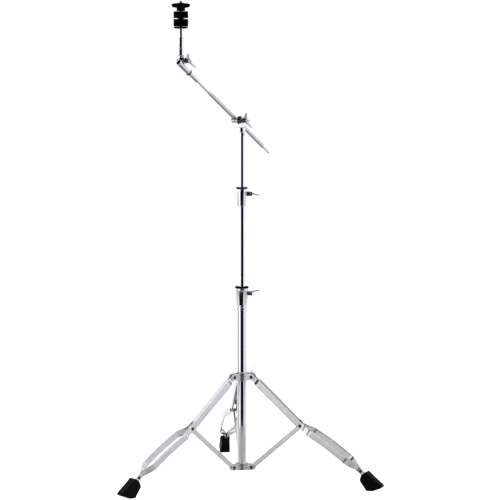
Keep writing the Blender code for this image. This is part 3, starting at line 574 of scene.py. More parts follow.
def chrome_look():
    look = Look("chrome_plating", "chrome", (0.86, 0.87, 0.89), 1.0, 0.05)
    look.mottled(look.noise(90, 3), (0.84, 0.85, 0.88), (0.90, 0.90, 0.91))
    look.worn(look.noise(260, 5), 0.015, 0.040)
    look.bump(look.noise(2500, 2, (1, 1, 0.02)), 0.000001, 0.2)
    return look.mat


def knurl_look():
    look = Look("knurled_plating", "chrome", (0.74, 0.75, 0.77), 1.0, 0.2)
    look.mottled(look.noise(120, 3), (0.66, 0.67, 0.69), (0.78, 0.79, 0.80))
    look.worn(look.noise(500, 4), 0.14, 0.26)
    return look.mat


def casting_look():
    look = Look("plated_die_casting", "plated_casting", (0.62, 0.58, 0.58), 1.0, 0.2)
    look.mottled(look.noise(140, 4), (0.56, 0.52, 0.52), (0.70, 0.66, 0.66))
    look.worn(look.noise(420, 4), 0.12, 0.24)
    look.bump(look.noise(700, 3), 0.00003, 0.5)
    return look.mat


def bright_casting_look():
    look = Look("bright_die_casting", "plated_casting", (0.80, 0.80, 0.82), 1.0, 0.1)
    look.mottled(look.noise(140, 4), (0.76, 0.76, 0.79), (0.86, 0.86, 0.88))
    look.worn(look.noise(420, 4), 0.03, 0.08)
    look.bump(look.noise(700, 3), 0.00001, 0.3)
    return look.mat


def strip_look():
    look = Look("plated_pressed_strip", "plated_strip", (0.74, 0.75, 0.77), 1.0, 0.2)
    look.mottled(look.noise(60, 4), (0.66, 0.665, 0.67), (0.77, 0.77, 0.775))
    look.worn(look.noise(180, 5), 0.13, 0.24)
    look.bump(look.noise(900, 3), 0.00001, 0.4)
    return look.mat


# The dark plating of the rivets and set screw, also used to paint shade on the faces marked for it.
def rivet_plating_and_painted_shade_look():
    look = Look("dark_rivet_plating_and_painted_shade", "chrome", (0.08, 0.075, 0.08), 1.0, 0.25)
    look.mottled(look.noise(400, 3), (0.05, 0.045, 0.05), (0.10, 0.09, 0.10))
    look.worn(look.noise(800, 4), 0.18, 0.34)
    return look.mat


def dark_thread_look():
    look = Look("blackened_thread", "chrome", (0.06, 0.06, 0.06), 1.0, 0.3)
    look.mottled(look.noise(500, 3), (0.025, 0.025, 0.027), (0.060, 0.060, 0.062))
    look.worn(look.noise(900, 4), 0.25, 0.40)
    return look.mat


def rubber_look():
    look = Look("moulded_rubber", "rubber", (0.012, 0.012, 0.012), 0.0, 0.6)
    look.mottled(look.noise(220, 5), (0.0015, 0.0015, 0.0016), (0.0040, 0.0039, 0.0040))
    look.worn(look.noise(500, 4), 0.42, 0.62)
    look.bump(look.noise(2600, 3), 0.00008, 0.5)
    look.shader.inputs["Specular IOR Level"].default_value = 0.05
    return look.mat


def plastic_look():
    look = Look("moulded_black_plastic", "black_plastic", (0.012, 0.012, 0.013), 0.0, 0.4)
    look.mottled(look.noise(300, 3), (0.0008, 0.0008, 0.0009), (0.0020, 0.0020, 0.0021))
    look.worn(look.noise(700, 4), 0.32, 0.46)
    look.bump(look.noise(3200, 2), 0.00004, 0.45)
    look.shader.inputs["Specular IOR Level"].default_value = 0.04
    return look.mat


def felt_look():
    look = Look("pressed_wool_felt", "felt", (0.008, 0.008, 0.008), 0.0, 1.0)
    fibres = look.noise(1800, 6, (1, 1, 0.45), 0.7)
    look.mottled(fibres, (0.0003, 0.0003, 0.0003), (0.0016, 0.0016, 0.0017))
    look.bump(fibres, 0.00035, 0.9)
    look.bump(look.noise(420, 4), 0.0005, 0.6)
    look.shader.inputs["Specular IOR Level"].default_value = 0.015
    look.shader.inputs["Sheen Weight"].default_value = 0.004
    look.shader.inputs["Sheen Roughness"].default_value = 0.6
    return look.mat


CHROME = chrome_look()
KNURL = knurl_look()
CASTING = casting_look()
BRIGHT = bright_casting_look()
STRIP = strip_look()
RIVET_PLATING_AND_PAINTED_SHADE = rivet_plating_and_painted_shade_look()
DARK_THREAD = dark_thread_look()
RUBBER = rubber_look()
PLASTIC = plastic_look()
FELT = felt_look()


# ---- fasteners


def rivet(half_width):
    """A shank along Y with a domed head outside each face, half_width from the middle."""
    face = half_width + GAP
    crown = face + RIVET_HEAD_T
    dome = [(RIVET_HEAD_R * math.cos(math.radians(a)), -face - RIVET_HEAD_T * math.sin(math.radians(a)))
            for a in (75, 60, 45, 30, 15, 4)]
    half = [(0, -crown)] + dome + [(RIVET_HEAD_R * 0.985, -face), (RIVET_R, -face)]
    return placed(turned(half + [(r, -z) for r, z in reversed(half)], 32), ALONG_Y)


def wing_outline(span, low, high):
    """Butterfly outline of a wing nut in (x, z): span across the tips, from low to high along the axis."""
    tall = high - low
    half = [(0.004, low), (span * 0.26, low + tall * 0.22), (span * 0.42, low + tall * 0.48)]
    half += [(span * 0.52, low + tall * 0.78), (span * 0.51, high), (span * 0.42, high)]
    half += [(span * 0.30, low + tall * 0.80), (0.004, low + tall * 0.62)]
    return corner_cut(half + [(-x, z) for x, z in reversed(half)])


def winged(sizes):
    """A cast wing nut's body: wings along X that thin towards their tips, axis along Z, seated at z = 0."""
    span, hub_r, hub_length, wing_start, wing_end = sizes
    crest = high_edge(hub_r * 0.8, hub_length, 0.0008)
    hub = turned([(0, 0), (hub_r - 0.0004, 0), (hub_r, 0.0004)] + crest + [(0, hub_length)], ROUND)
    wings = prism(wing_outline(span, wing_start, wing_end), -WING_T / 2, WING_T / 2)
    bmesh.ops.triangulate(wings, faces=wings.faces)
    for vert in wings.verts:
        vert.co.y *= 1.15 - 0.55 * min(abs(vert.co.x) / (span / 2), 1)
    return joined(hub, wings)


def wing_nut(sizes):
    """A cast wing nut with a bore, with shade painted on its hub in a dark second material."""
    nut = cut(winged(sizes), rod(NUT_BORE_R, -0.01, sizes[2] + 0.02, 32, 0))
    # painted shade on the hub
    return rim_painted_shade(cast_form(nut, 0.00035, 4, 0.3), *HUB_PAINTED_SHADE, HUB_SHADE_RIM, axis=2)


def wing_bolt(sizes, shank_length):
    head = cast_form(winged(sizes), 0.00035, 4, 0.3)
    shank = threaded(BOLT_R, -0.0008, shank_length, SCREW_THREAD_DEPTH)
    return with_part(head, placed(shank, turn(180, "X")))


def with_part(bm, part):
    """Adds part's mesh to bm as a second shell of the same piece."""
    mesh = bpy.data.meshes.new("working")
    part.to_mesh(mesh)
    part.free()
    bm.from_mesh(mesh)
    bpy.data.meshes.remove(mesh)
    return bm


# ---- tripod


def leg_stations():
    """Centre line of a strip: (u, z, slope, half height, inner face, top flange, bottom flange)."""
    slope = math.atan2(COLLAR_PIVOT_Z - KNEE_Z, KNEE_R - PIVOT_R)
    small = GAP
    stations = []

    def upper(s, half, inner, top, bottom):
        u = PIVOT_R + s * math.cos(slope)
        z = COLLAR_PIVOT_Z - s * math.sin(slope)
        stations.append((u, z, slope, half, inner, top, bottom))

    for angle in (10, 18, 27, 36, 45, 54, 63, 72, 81):
        a = math.radians(angle)
        upper(-END_HALF * math.cos(a), END_HALF * math.sin(a), STRIP_NARROW, small, small)
    for s in (0.0, 0.005, 0.009, 0.0115, 0.0135):
        upper(s, end_half(s), STRIP_NARROW, small, small)
    for i in range(9):
        s = SHOULDER + 0.012 * i / 8
        inner = STRIP_NARROW + (STRIP_WIDE - STRIP_NARROW) * smooth(s, SHOULDER, 0.026)
        top = small + (inner - GAP - small) * smooth(s, SHOULDER, 0.018)
        upper(s, end_half(s), inner, top, FLANGE * smooth(s, SHOULDER, 0.019) + small)
    for i in range(5):
        s = 0.030 + (LINK - 0.055) * i / 4
        upper(s, STRIP_HALF, STRIP_WIDE, STRIP_WIDE - GAP, FLANGE)
    for i in range(5):
        s = LINK - 0.020 + 0.010 * i / 4
        left = 1 - smooth(s, LINK - 0.019, LINK - 0.012)
        top = small + (STRIP_WIDE - GAP - small) * left
        upper(s, STRIP_HALF, STRIP_WIDE, top, small + (FLANGE - small) * left)
    upper(LINK - 0.008, STRIP_HALF, STRIP_WIDE, small, small)

    knee = Vector((KNEE_R, KNEE_Z))
    foot = Vector((FOOT_U, FOOT_Z))
    reach = (foot - knee).length / 3
    first = knee + reach * Vector((math.cos(KNEE_SLOPE), -math.sin(KNEE_SLOPE)))
    second = foot - reach * Vector((math.cos(FOOT_SLOPE), -math.sin(FOOT_SLOPE)))
    before_knee = Vector(stations[-1][:2]) * 0.35 + knee * 0.65
    plain = (STRIP_HALF, STRIP_WIDE, small, small)
    stations.append((*before_knee, slope * 0.75 + KNEE_SLOPE * 0.25, *plain))
    stations.append((*knee, (slope + KNEE_SLOPE) / 2, *plain))
    steps = 60
    for i in range(1, steps + 1):
        t = 0.02 + 0.98 * i / steps
        r = 1 - t
        point = r**3 * knee + 3 * r * r * t * first + 3 * r * t * t * second + t**3 * foot
        along = r * r * (first - knee) + 2 * r * t * (second - first) + t * t * (foot - second)
        spread = STRIP_WIDE + BOW * smooth(t, 0.03, 0.18)
        inner = GAP + (spread - GAP) * (1 - smooth(t, 0.73, 0.93))
        half = STRIP_HALF + (TAB_HALF - STRIP_HALF) * smooth(t, 0.80, 0.97)
        flange = (FLANGE - small) * smooth(t, 0.05, 0.16) * (1 - smooth(t, 0.80, 0.94)) + small
        flange = min(flange, inner * 0.9)
        stations.append((*point, math.atan2(-along.y, along.x), half, inner, flange, flange))
    stations.append(tab_station(TAB_LENGTH))
    return stations


def end_half(distance):
    """Half height of a strip near its collar end, which narrows to a rounded tab."""
    return END_HALF + (STRIP_HALF - END_HALF) * smooth(distance, 0.009, 0.025)


def tab_station(distance):
    u = FOOT_U + distance * math.cos(FOOT_SLOPE)
    z = FOOT_Z - distance * math.sin(FOOT_SLOPE)
    return (u, z, FOOT_SLOPE, TAB_HALF, GAP, GAP * 0.9, GAP * 0.9)


def strip_ring(station, side):
    """The channel section of a strip: a web, rounded at its bends, with a flange inward at top and bottom."""
    u, z, slope, half, inner, top, bottom = station
    normal = Vector((math.sin(slope), 0, math.cos(slope)))
    edge = STRIP_T * 0.9
    bend = min(STRIP_BEND, half * 0.4)
    outer = inner + STRIP_T
    bent = corner((half - bend, outer - bend), bend, 65, 15, 2)
    section = [(bend - half, outer), (half - bend, outer)] + bent
    section += [(half, min(outer - bend, inner - top + LIP)), (half, inner - top), (half - edge, inner - top)]
    section += [(half - edge, inner), (edge - half, inner), (edge - half, inner - bottom)]
    section += [(-half, inner - bottom), (-half, min(outer - bend, inner - bottom + LIP))]
    section += [(-n, v) for n, v in reversed(bent)]
    return [Vector((u, side * v, z)) + n * normal for n, v in section]


def cross_hole(u, z):
    return placed(rod(RIVET_HOLE_R, -CUTTER_REACH, CUTTER_REACH, SMALL, 0), ALONG_Y, shift(u, 0, z))


def bolt_hole():
    """The tool for a bolt's hole along Y."""
    return placed(rod(BOLT_HOLE_R, -CUTTER_REACH, CUTTER_REACH, SMALL, 0), ALONG_Y)


def foot_rivet_place():
    return FOOT_U - FOOT_RIVET_BACK * math.cos(FOOT_SLOPE), FOOT_Z + FOOT_RIVET_BACK * math.sin(FOOT_SLOPE)


def leg_strip(side):
    return loft([strip_ring(station, side) for station in leg_stations()])


def boot():
    """Rubber foot: soft-edged wedge with a pocket at its mouth and grooves across its sole."""
    body = prism(BOOT_SIDE, -BOOT_HALF, BOOT_HALF)
    for vert in body.verts:
        if vert.co.x < BOOT_MOUTH:
            vert.co.y *= BOOT_MOUTH_SHARE
        elif vert.co.x > BOOT_TOE:
            vert.co.y *= BOOT_TOE_SHARE
    edges = [edge for edge in body.edges if edge.calc_face_angle(0) > math.radians(18)]
    bmesh.ops.bevel(body, geom=edges, offset=BOOT_EDGE, segments=4, affect="EDGES", profile=0.5)
    rings = []
    for distance in (-0.010, TAB_LENGTH + 0.001):
        u, z, slope, *_ = tab_station(distance)
        normal = Vector((math.sin(slope), 0, math.cos(slope)))
        tall = TAB_HALF + 2 * GAP
        wide = STRIP_T + 3 * GAP
        corners = [(-tall, -wide), (tall, -wide), (tall, wide), (-tall, wide)]
        rings.append([Vector((u, v, z)) + n * normal for n, v in corners])
    grooves = [box((u, -0.02, -0.005), (u + GROOVE_WIDTH, 0.02, GROOVE_TOP)) for u in SOLE_GROOVES]
    return cast_form(cut(body, loft(rings), *grooves), 0.00055, 3, 0.4)


def strut():
    """Flat bar from the hub to the knee, along +X from its hub pivot, with a boss at the knee."""
    bar = prism(rounded_bar(0, LINK, STRUT_HALF_H), -STRUT_HALF_T, STRUT_HALF_T)
    boss = placed(rod(STRUT_BOSS_R, -STRUT_BOSS_HALF, STRUT_BOSS_HALF, 32, 0), ALONG_Y, shift(LINK, 0, 0))
    return cut(joined(bar, boss), cross_hole(0, 0), cross_hole(LINK, 0))


def make_leg(index):
    plane = leg_frame(index)
    leg, brace = f"leg_{index}", f"strut_{index}"
    rise = math.degrees(math.atan2(KNEE_Z - HUB_PIVOT_Z, KNEE_R - PIVOT_R))
    strut_frame = plane @ shift(PIVOT_R, 0, HUB_PIVOT_Z) @ turn(-rise, "Y")
    piece(f"strut_bar_{index}", strut(), STRIP, brace, brace, at=strut_frame, bevel=0.0007, steps=3)

    def add_rivet(label, body, half_width, u, z):
        piece(f"{label}_rivet_domed_{index}", rivet(half_width), RIVET_PLATING_AND_PAINTED_SHADE, body, f"{label}_rivet_{index}",
              at=plane @ shift(u, 0, z))

    add_rivet("hub", "base", STRUT_HALF_T + GAP + EAR_T, PIVOT_R, HUB_PIVOT_Z)
    for side, label in ((1, "left"), (-1, "right")):
        piece(f"leg_strip_pressed_{label}_{index}", leg_strip(side), STRIP, leg, f"leg_strip_{label}_{index}",
              at=plane, bevel=0.00025, limit=50)
    add_rivet("knee", leg, STRIP_WIDE + STRIP_T, KNEE_R, KNEE_Z)
    add_rivet("foot", leg, GAP + STRIP_T, *foot_rivet_place())
    add_rivet("collar", leg, STRIP_NARROW + STRIP_T + GAP + EAR_T, PIVOT_R, COLLAR_PIVOT_Z)
    piece(f"rubber_boot_{index}", boot(), RUBBER, leg, f"rubber_foot_{index}", at=plane, sharp=60)


def ear(u0, half_t, centre_y, pivot_z, radius):
    """A lug that reaches out from a hub or collar, rounded about a leg pivot."""
    outline = [(x + PIVOT_R, z + pivot_z) for x, z in rounded_bar(u0 - PIVOT_R, 0, radius)]
    return prism([point for point in outline if point[0] > u0 - 0.001], centre_y - half_t, centre_y + half_t)


def turned_copies(make):
    return [placed(make(), turn(azimuth, "Z")) for azimuth in LEG_AZIMUTHS]


def forked(body, inner_face, start, pivot_z, radius):
    """Adds a pair of ears with a rivet hole for each leg, inner_face from the leg's plane."""
    centre = inner_face + EAR_T / 2
    for side in (1, -1):
        body = joined(body, *turned_copies(lambda: ear(start, EAR_T / 2, side * centre, pivot_z, radius)))
    return cut(body, *turned_copies(lambda: cross_hole(PIVOT_R, pivot_z)))


def lower_hub():
    bore = BASE_R + GAP
    floor = HUB_BOTTOM + HUB_FLOOR
    profile = [(0, HUB_BOTTOM)] + low_edge(HUB_R, HUB_BOTTOM, 0.001)
    profile += high_edge(HUB_R, HUB_TOP, 0.0012) + [(bore, HUB_TOP)]
    cup = turned(profile + [(bore, floor), (0, floor)])
    cup = forked(cup, STRUT_HALF_T + GAP, 0.0150, HUB_PIVOT_Z, HUB_EAR_R)
    return cut(cup, rod(bore, floor, HUB_TOP + 0.01, FINE, 0))


def leg_collar():
    low, high = COLLAR_BOTTOM, COLLAR_TOP
    bore = BASE_R + GAP
    place = shift(0, 0, COLLAR_SCREW_Z)
    aim = turn(COLLAR_SCREW_AZIMUTH, "Z")
    boss = placed(rod(COLLAR_BOSS_R, COLLAR_BOSS_START, COLLAR_BOSS_END, ROUND, 0), ALONG_X, place, aim)
    hole = placed(rod(BOLT_HOLE_R, 0.0100, 0.0300, SMALL, 0), ALONG_X, place, aim)
    inner_face = STRIP_NARROW + STRIP_T + GAP
    collar = joined(ring(bore, COLLAR_R, low, high, 0.001), boss)
    collar = forked(collar, inner_face, 0.0125, COLLAR_PIVOT_Z, COLLAR_EAR_R)
    return cut(collar, hole, rod(bore, low - 0.01, high + 0.01, FINE, 0))


def make_tripod():
    tube = ring(BASE_BORE_R, BASE_R, BASE_BOTTOM, BASE_TOP, 0.0005, SMOOTH)
    piece("base_tube_chromed", tube, CHROME, "base", "base_tube")
    piece("hub_casting", lower_hub(), CASTING, "base", "lower_hub", bevel=0.0005)
    band = ring(BASE_R + GAP * 0.2, BASE_R + BAND_T, BAND_BOTTOM, BAND_TOP, 0.0005, SMOOTH)
    piece("tube_band_rolled", band, CHROME, "base", "tube_band")
    for index in (1, 2, 3):
        make_leg(index)
    piece("collar_casting", leg_collar(), CASTING, "collar", "leg_collar", bevel=0.0005)
    screw = wing_bolt(COLLAR_WING, COLLAR_SCREW_SEAT - BASE_R - GAP)
    at = POST @ turn(COLLAR_SCREW_AZIMUTH, "Z") @ shift(COLLAR_SCREW_SEAT, 0, COLLAR_SCREW_Z) @ ALONG_X
    piece("collar_wing_bolt_cast", screw, CHROME, "collar_wing", "collar_wing_bolt", at=at, sharp=50)


# ---- height clamps


def clamp_housing(sizes, bore):
    bottom, top, _, low_r, high_r, _ = sizes
    bolt_z = top - CLAMP_BOLT_DROP
    profile = [(bore, bottom)] + low_edge(low_r, bottom, 0.0008)
    taper_low, taper_high = bottom + 0.0008, top - 0.008
    for share in (0.04, 0.96):
        profile.append((low_r + (high_r - low_r) * share, taper_low + (taper_high - taper_low) * share))
    profile += [(high_r, taper_high), (high_r, taper_high + 0.0015), (high_r, top - 0.0015)]
    profile += high_edge(high_r, top, 0.0006) + [(bore, top)]
    housing = turned(profile, FINE, closed=True)
    outline = rounded_bar(0.006, CLAMP_BOLT_OFFSET, 0.0062)
    lug = placed(prism(outline, -CLAMP_EAR_FACE, CLAMP_EAR_FACE), shift(0, 0, bolt_z))
    housing = joined(housing, lug)
    slot = box((bore - 0.004, -EAR_HALF_GAP, bottom + 0.012), (0.040, EAR_HALF_GAP, top + 0.002))
    hole = placed(bolt_hole(), shift(CLAMP_BOLT_OFFSET, 0, bolt_z))
    return cut(housing, rod(bore, bottom - 0.01, top + 0.01, FINE, 0), slot, hole)


def clamp_bushing(sizes, bore, tube_r, sleeve_length):
    _, top, flange_top, _, _, flange_r = sizes
    low_flange = top + GAP
    inner, outer = tube_r + GAP * 0.3, bore - GAP
    profile = [(inner, top - sleeve_length), (outer, top - sleeve_length), (outer, low_flange)]
    profile += low_edge(flange_r, low_flange, 0.0006)
    profile += high_edge(flange_r, flange_top, 0.0012)
    return turned(profile + [(inner + 0.0006, flange_top), (inner, flange_top - 0.0006)], SMOOTH, closed=True)


def square_nut():
    half = SQUARE_NUT_HALF
    nut = box((-half, -SQUARE_NUT_T, -half), (half, 0, half))
    dome = placed(rod(half * 1.32, -SQUARE_NUT_T, 0.0010, ROUND, 0.0009), ALONG_Y)
    return cut(combined(nut, dome, "INTERSECT"), bolt_hole())


def make_clamp(name, sizes, bore, tube_r, sleeve_length, wing_turn, body):
    bolt_place = CLAMP_FRAME @ shift(CLAMP_BOLT_OFFSET, 0, sizes[1] - CLAMP_BOLT_DROP)
    piece(f"{name}_clamp_casting", clamp_housing(sizes, bore), BRIGHT, body, f"{name}_clamp",
          at=CLAMP_FRAME, bevel=0.0005)
    piece(f"{name}_bushing_moulded", clamp_bushing(sizes, bore, tube_r, sleeve_length), PLASTIC,
          f"{name}_swivel", f"{name}_bushing")
    at = bolt_place @ shift(0, -CLAMP_EAR_FACE - GAP, 0)
    piece(f"{name}_clamp_nut_square", square_nut(), CHROME, body, f"{name}_clamp_nut", at=at, bevel=0.0003)
    at = bolt_place @ shift(0, CLAMP_EAR_FACE + GAP, 0) @ turn(-wing_turn, "Y") @ ALONG_Y
    bolt = wing_bolt(CLAMP_WING, CLAMP_SHANK)
    piece(f"{name}_wing_bolt_cast", bolt, CHROME, f"{name}_wing", f"{name}_wing_bolt", at=at, sharp=50)


def make_post():
    make_clamp("lower", LOWER_CLAMP, BASE_R + GAP, MIDDLE_R, LOWER_BUSHING, LOWER_WING_TURN, "base")
    make_clamp("upper", UPPER_CLAMP, MIDDLE_R + GAP, TOP_R, UPPER_BUSHING, UPPER_WING_TURN, "middle")
    for name, bore_r, radius, low, high in (
        ("middle", MIDDLE_BORE_R, MIDDLE_R, MIDDLE_BOTTOM, MIDDLE_TOP),
        ("top", TOP_BORE_R, TOP_R, TOP_BOTTOM, TOP_TOP),
    ):
        tube = ring(bore_r, radius, low, high, 0.0005, SMOOTH)
        piece(f"{name}_tube_chromed", tube, CHROME, name, f"{name}_tube")


# ---- boom


def boom_yoke():
    plug = rod(TOP_BORE_R - GAP, TOP_TOP - 0.022, TOP_TOP + 0.004, FINE)
    neck = turned([(0, TOP_TOP + GAP), (TOP_R - 0.0004, TOP_TOP + GAP), (TOP_R, TOP_TOP + 0.0007)]
                  + corner((TOP_R - 0.0021, TOP_TOP + YOKE_NECK - 0.0016), 0.0016, 0, 90)
                  + [(0, TOP_TOP + YOKE_NECK)])
    pivot = shift(0, 0, BOOM_PIVOT_Z)
    disc = placed(toothed_disc(DISC_R, YOKE_FACE, YOKE_BACK, BOOM_TEETH), ALONG_Y, pivot)
    web = box((-0.0080, YOKE_FACE + 0.0012, TOP_TOP + 0.006), (0.0080, YOKE_BACK - 0.0004, BOOM_PIVOT_Z))
    screw_hole = beside_post(rod(YOKE_SCREW_HOLE_R, 0.0045, 0.02, SMALL, 0))
    yoke = cut(joined(neck, plug, web, disc), placed(bolt_hole(), pivot), screw_hole)
    # painted shade on the rim of the yoke's toothed disc
    return rim_painted_shade(yoke, YOKE_FACE, YOKE_BACK - GAP, YOKE_SHADE_RIM, (0.0, BOOM_PIVOT_Z))


def beside_post(bm):
    """Turns a screw along Z into its place in the yoke's plug."""
    return placed(bm, ALONG_X, turn(YOKE_SCREW_AZIMUTH, "Z"), shift(0, 0, TOP_TOP - YOKE_SCREW_DROP))


def yoke_screw():
    seat = TOP_R + GAP
    shank = [(0, YOKE_SCREW_TIP), (SCREW_R, YOKE_SCREW_TIP), (SCREW_R, seat), (YOKE_SCREW_HEAD_R, seat)]
    dome = corner((YOKE_SCREW_HEAD_R - SCREW_R, TOP_R + 0.0008), SCREW_R, 10, 85)
    return beside_post(turned(shank + dome + [(0, TOP_R + 0.0028)], SMALL))


def boom_holder():
    """The barrel that the boom slides in, with a toothed disc against the yoke's."""
    edge = 0.0016
    rim_r, disc_back = DISC_R - 0.0003, -0.0080
    outline = [(0, HOLDER_FAR)] + low_edge(HOLDER_R, HOLDER_FAR, edge)
    outline += [(HOLDER_R, -0.0088), (rim_r, disc_back), (rim_r, -0.0070), (0, -0.0070)]
    disc = placed(toothed_disc(DISC_R, HOLDER_FACE, disc_back, BOOM_TEETH), ALONG_Y)
    holder = joined(placed(turned(outline), ALONG_Y), disc)
    bore = rod(SLEEVE_R + GAP, -CUTTER_REACH, CUTTER_REACH, FINE, 0)
    placed(bore, ALONG_X, shift(0, BOOM_OFFSET, 0))
    socket = placed(rod(BOLT_HOLE_R, disc_back, 0.0, SMALL, 0), ALONG_Y)
    # painted shade on the rim of the holder's toothed disc
    return rim_painted_shade(cut(holder, bore, socket), disc_back - 0.0010, HOLDER_FACE + GAP, HOLDER_SHADE_RIM)


def boom_rod():
    end = TILTER_ALONG - 0.0200
    nose = low_edge(ROD_R, ROD_START, 0.0014, 6)
    return turned([(0, ROD_START)] + nose + [(ROD_R, end), (0, end)], ROUND)


def knurled_sleeve():
    """Sleeve with a diamond knurl between two plain bands."""
    around = 26
    rows_per_metre = around / (math.tau * SLEEVE_R)
    depth, plain = 0.00035, 0.0050
    edge_r = 0.0004

    def radius_at(angle, z):
        first = (angle / math.tau * around + z * rows_per_metre) % 1
        second = (angle / math.tau * around - z * rows_per_metre) % 1
        ridge = min(1 - abs(2 * first - 1), 1 - abs(2 * second - 1))
        edge = min(z - SLEEVE_START, SLEEVE_END - z)
        share = smooth(edge, plain, plain + 0.001)
        rounding = edge_r * (1 - min(edge / edge_r, 1)) ** 2
        return SLEEVE_R - share * depth * (1 - min(ridge * 1.5, 1)) - rounding

    return surface_of_turns(radius_at, SLEEVE_START, SLEEVE_END, 0.00042, around * 4)


def tilter_socket():
    """The piece on the rod's end: a narrow neck, a ring and a thicker end under a toothed disc."""
    ring_end, edge = SOCKET_RING + SOCKET_RING_T, 0.0012
    profile = [(0, SOCKET_START)] + low_edge(SOCKET_NECK_R, SOCKET_START, 0.0008)
    profile += [(SOCKET_NECK_R, SOCKET_RING)] + low_edge(SOCKET_RING_R, SOCKET_RING, edge)
    profile += corner((SOCKET_RING_R - edge, ring_end - edge), edge, 0, 60)
    profile += [(SOCKET_R, ring_end + 0.0004)] + high_edge(SOCKET_R, SOCKET_END, 0.003)
    body = placed(turned(profile + [(0, SOCKET_END)], FINE), ALONG_X)
    pivot = shift(TILTER_ALONG, 0, TILTER_ABOVE)
    disc = placed(toothed_disc(TILTER_DISC_R, SOCKET_FACE, SOCKET_BACK, TILTER_TEETH), ALONG_Y, pivot)
    web = box((TILTER_ALONG - 0.0102, SOCKET_FACE + 0.0012, -0.0020),
              (TILTER_ALONG + 0.0095, SOCKET_BACK - 0.0004, TILTER_ABOVE))
    room = placed(rod(TILTER_DISC_R + 0.0015, -0.0200, SOCKET_FACE + 0.0002, FINE, 0), ALONG_Y, pivot)
    socket = joined(cut(body, room), web, disc)
    bore = placed(rod(ROD_R + GAP, SOCKET_START - 0.01, TILTER_ALONG - 0.0190, ROUND, 0), ALONG_X)
    screw = placed(rod(SET_SCREW_HOLE_R, 0.0, 0.0200, SMALL, 0), shift(SET_SCREW_ALONG, 0, 0))
    socket = cut(socket, bore, placed(bolt_hole(), pivot), screw)
    # painted shade on the socket's ring
    rim_painted_shade(socket, SOCKET_RING - 0.0006, ring_end + 0.0004, RING_SHADE_RIM, axis=0)
    return placed(socket, shift(0, BOOM_OFFSET, 0))


def tilter_set_screw():
    screw = rod(SCREW_R, ROD_R + GAP, SOCKET_NECK_R + 0.0012, ROUND, 0.0003)
    key = rod(HEX_KEY_R, SOCKET_NECK_R, SOCKET_NECK_R + 0.0030, 6, 0)
    return placed(cut(screw, key), shift(SET_SCREW_ALONG, BOOM_OFFSET, 0))


def bolt_body(head, tip, radius, thread_from):
    """A bolt about Z: its head's profile, a plain shank and a threaded end."""
    plain = turned(head + [(radius, thread_from), (0, thread_from)], ROUND)
    return with_part(plain, threaded(radius, thread_from - 0.0002, tip, BOLT_THREAD_DEPTH))


def make_boom():
    piece("boom_yoke_casting", boom_yoke(), BRIGHT, "top", "boom_yoke", at=YOKE_FRAME, bevel=CAST_EDGE)
    piece("yoke_screw_domed", yoke_screw(), CHROME, "top", "yoke_screw", at=YOKE_FRAME)
    piece("boom_holder_casting", boom_holder(), BRIGHT, "boom_head", "boom_holder", at=BOOM_FRAME,
          bevel=CAST_EDGE)
    bolt = bolt_body([(0, BOOM_BOLT_START), (BOLT_R, BOOM_BOLT_START)], BOOM_BOLT_TIP, BOLT_R, 0.0040)
    piece("boom_clamp_bolt_threaded", bolt, CHROME, "boom_head", "boom_clamp_bolt", at=BOOM_FRAME @ ALONG_Y)
    at = BOOM_FRAME @ shift(0, YOKE_BACK + GAP, 0) @ turn(BOOM_ELEVATION + BOOM_WING_TURN, "Y") @ ALONG_Y
    piece("boom_wing_nut_cast", wing_nut(BOOM_WING), CHROME, "boom_wing", "boom_wing_nut", at=at, sharp=50)
    boom_line = BOOM_FRAME @ shift(0, BOOM_OFFSET, 0) @ ALONG_X
    piece("boom_sleeve_knurled", knurled_sleeve(), KNURL, "boom", "boom_sleeve", at=boom_line, sharp=80)
    piece("boom_rod_chromed", boom_rod(), CHROME, "boom", "boom_rod", at=boom_line)
    piece("tilter_socket_casting", tilter_socket(), BRIGHT, "boom", "tilter_socket", at=BOOM_FRAME,
          bevel=CAST_EDGE)
    piece("tilter_set_screw_socketed", tilter_set_screw(), RIVET_PLATING_AND_PAINTED_SHADE, "boom", "tilter_set_screw", at=BOOM_FRAME)


# ---- tilter and cymbal seat


def tilter_head():
    """The barrel that holds the cymbal rod, with a toothed disc against the socket's."""
    disc = placed(toothed_disc(TILTER_DISC_R, HEAD_FACE, HEAD_BACK, TILTER_TEETH), ALONG_Y)
    head = joined(placed(turned(HEAD_BARREL, FINE), shift(0, CYMBAL_ROD_Y, 0)), disc)
    bore = rod(CYMBAL_ROD_R + GAP, CYMBAL_ROD_START - GAP, 0.09, ROUND, 0)
    head = cut(head, placed(bore, shift(0, CYMBAL_ROD_Y, 0)), bolt_hole())
    # painted shade on the rim of the head's toothed disc
    return rim_painted_shade(head, -0.0005, HEAD_FACE + GAP, TILTER_SHADE_RIM)


def tilter_bolt():
    seat = CYMBAL_ROD_Y - HEAD_BARREL[2][0] - GAP
    head = [(0, seat - 0.0042), (0.0022, seat - 0.0041), (0.0040, seat - 0.0036), (0.0051, seat - 0.0027)]
    head += [(0.0054, seat - 0.0016), (0.0054, seat - 0.0003), (0.0051, seat), (BOLT_R, seat)]
    return bolt_body(head, TILTER_BOLT_TIP, BOLT_R, 0.0070)


def cup_washer():
    bore, round_r, rim_r = CYMBAL_ROD_R + GAP, 0.0014, 0.0006
    profile = [(bore, CUP_BOTTOM), (0.0145, CUP_BOTTOM)]
    profile += corner((CUP_R - round_r, CUP_BOTTOM + 0.0020), round_r, -60, 0) + [(CUP_R, CUP_TOP - rim_r)]
    profile += high_edge(CUP_R, CUP_TOP, rim_r) + [(bore, CUP_TOP)]
    return turned(profile, SMOOTH, closed=True)


def cymbal_sleeve():
    """A thin tube through both felts, with a flange between them."""
    bore, outer = CYMBAL_ROD_R + GAP, CYMBAL_SLEEVE_R
    low, high, flange = SLEEVE_FLANGE
    bottom, top = LOWER_FELT[0], UPPER_FELT[1]
    profile = [(bore, bottom), (outer, bottom), (outer, low), (flange, low)]
    return turned(profile + [(flange, high), (outer, high), (outer, top), (bore, top)], FINE, closed=True)


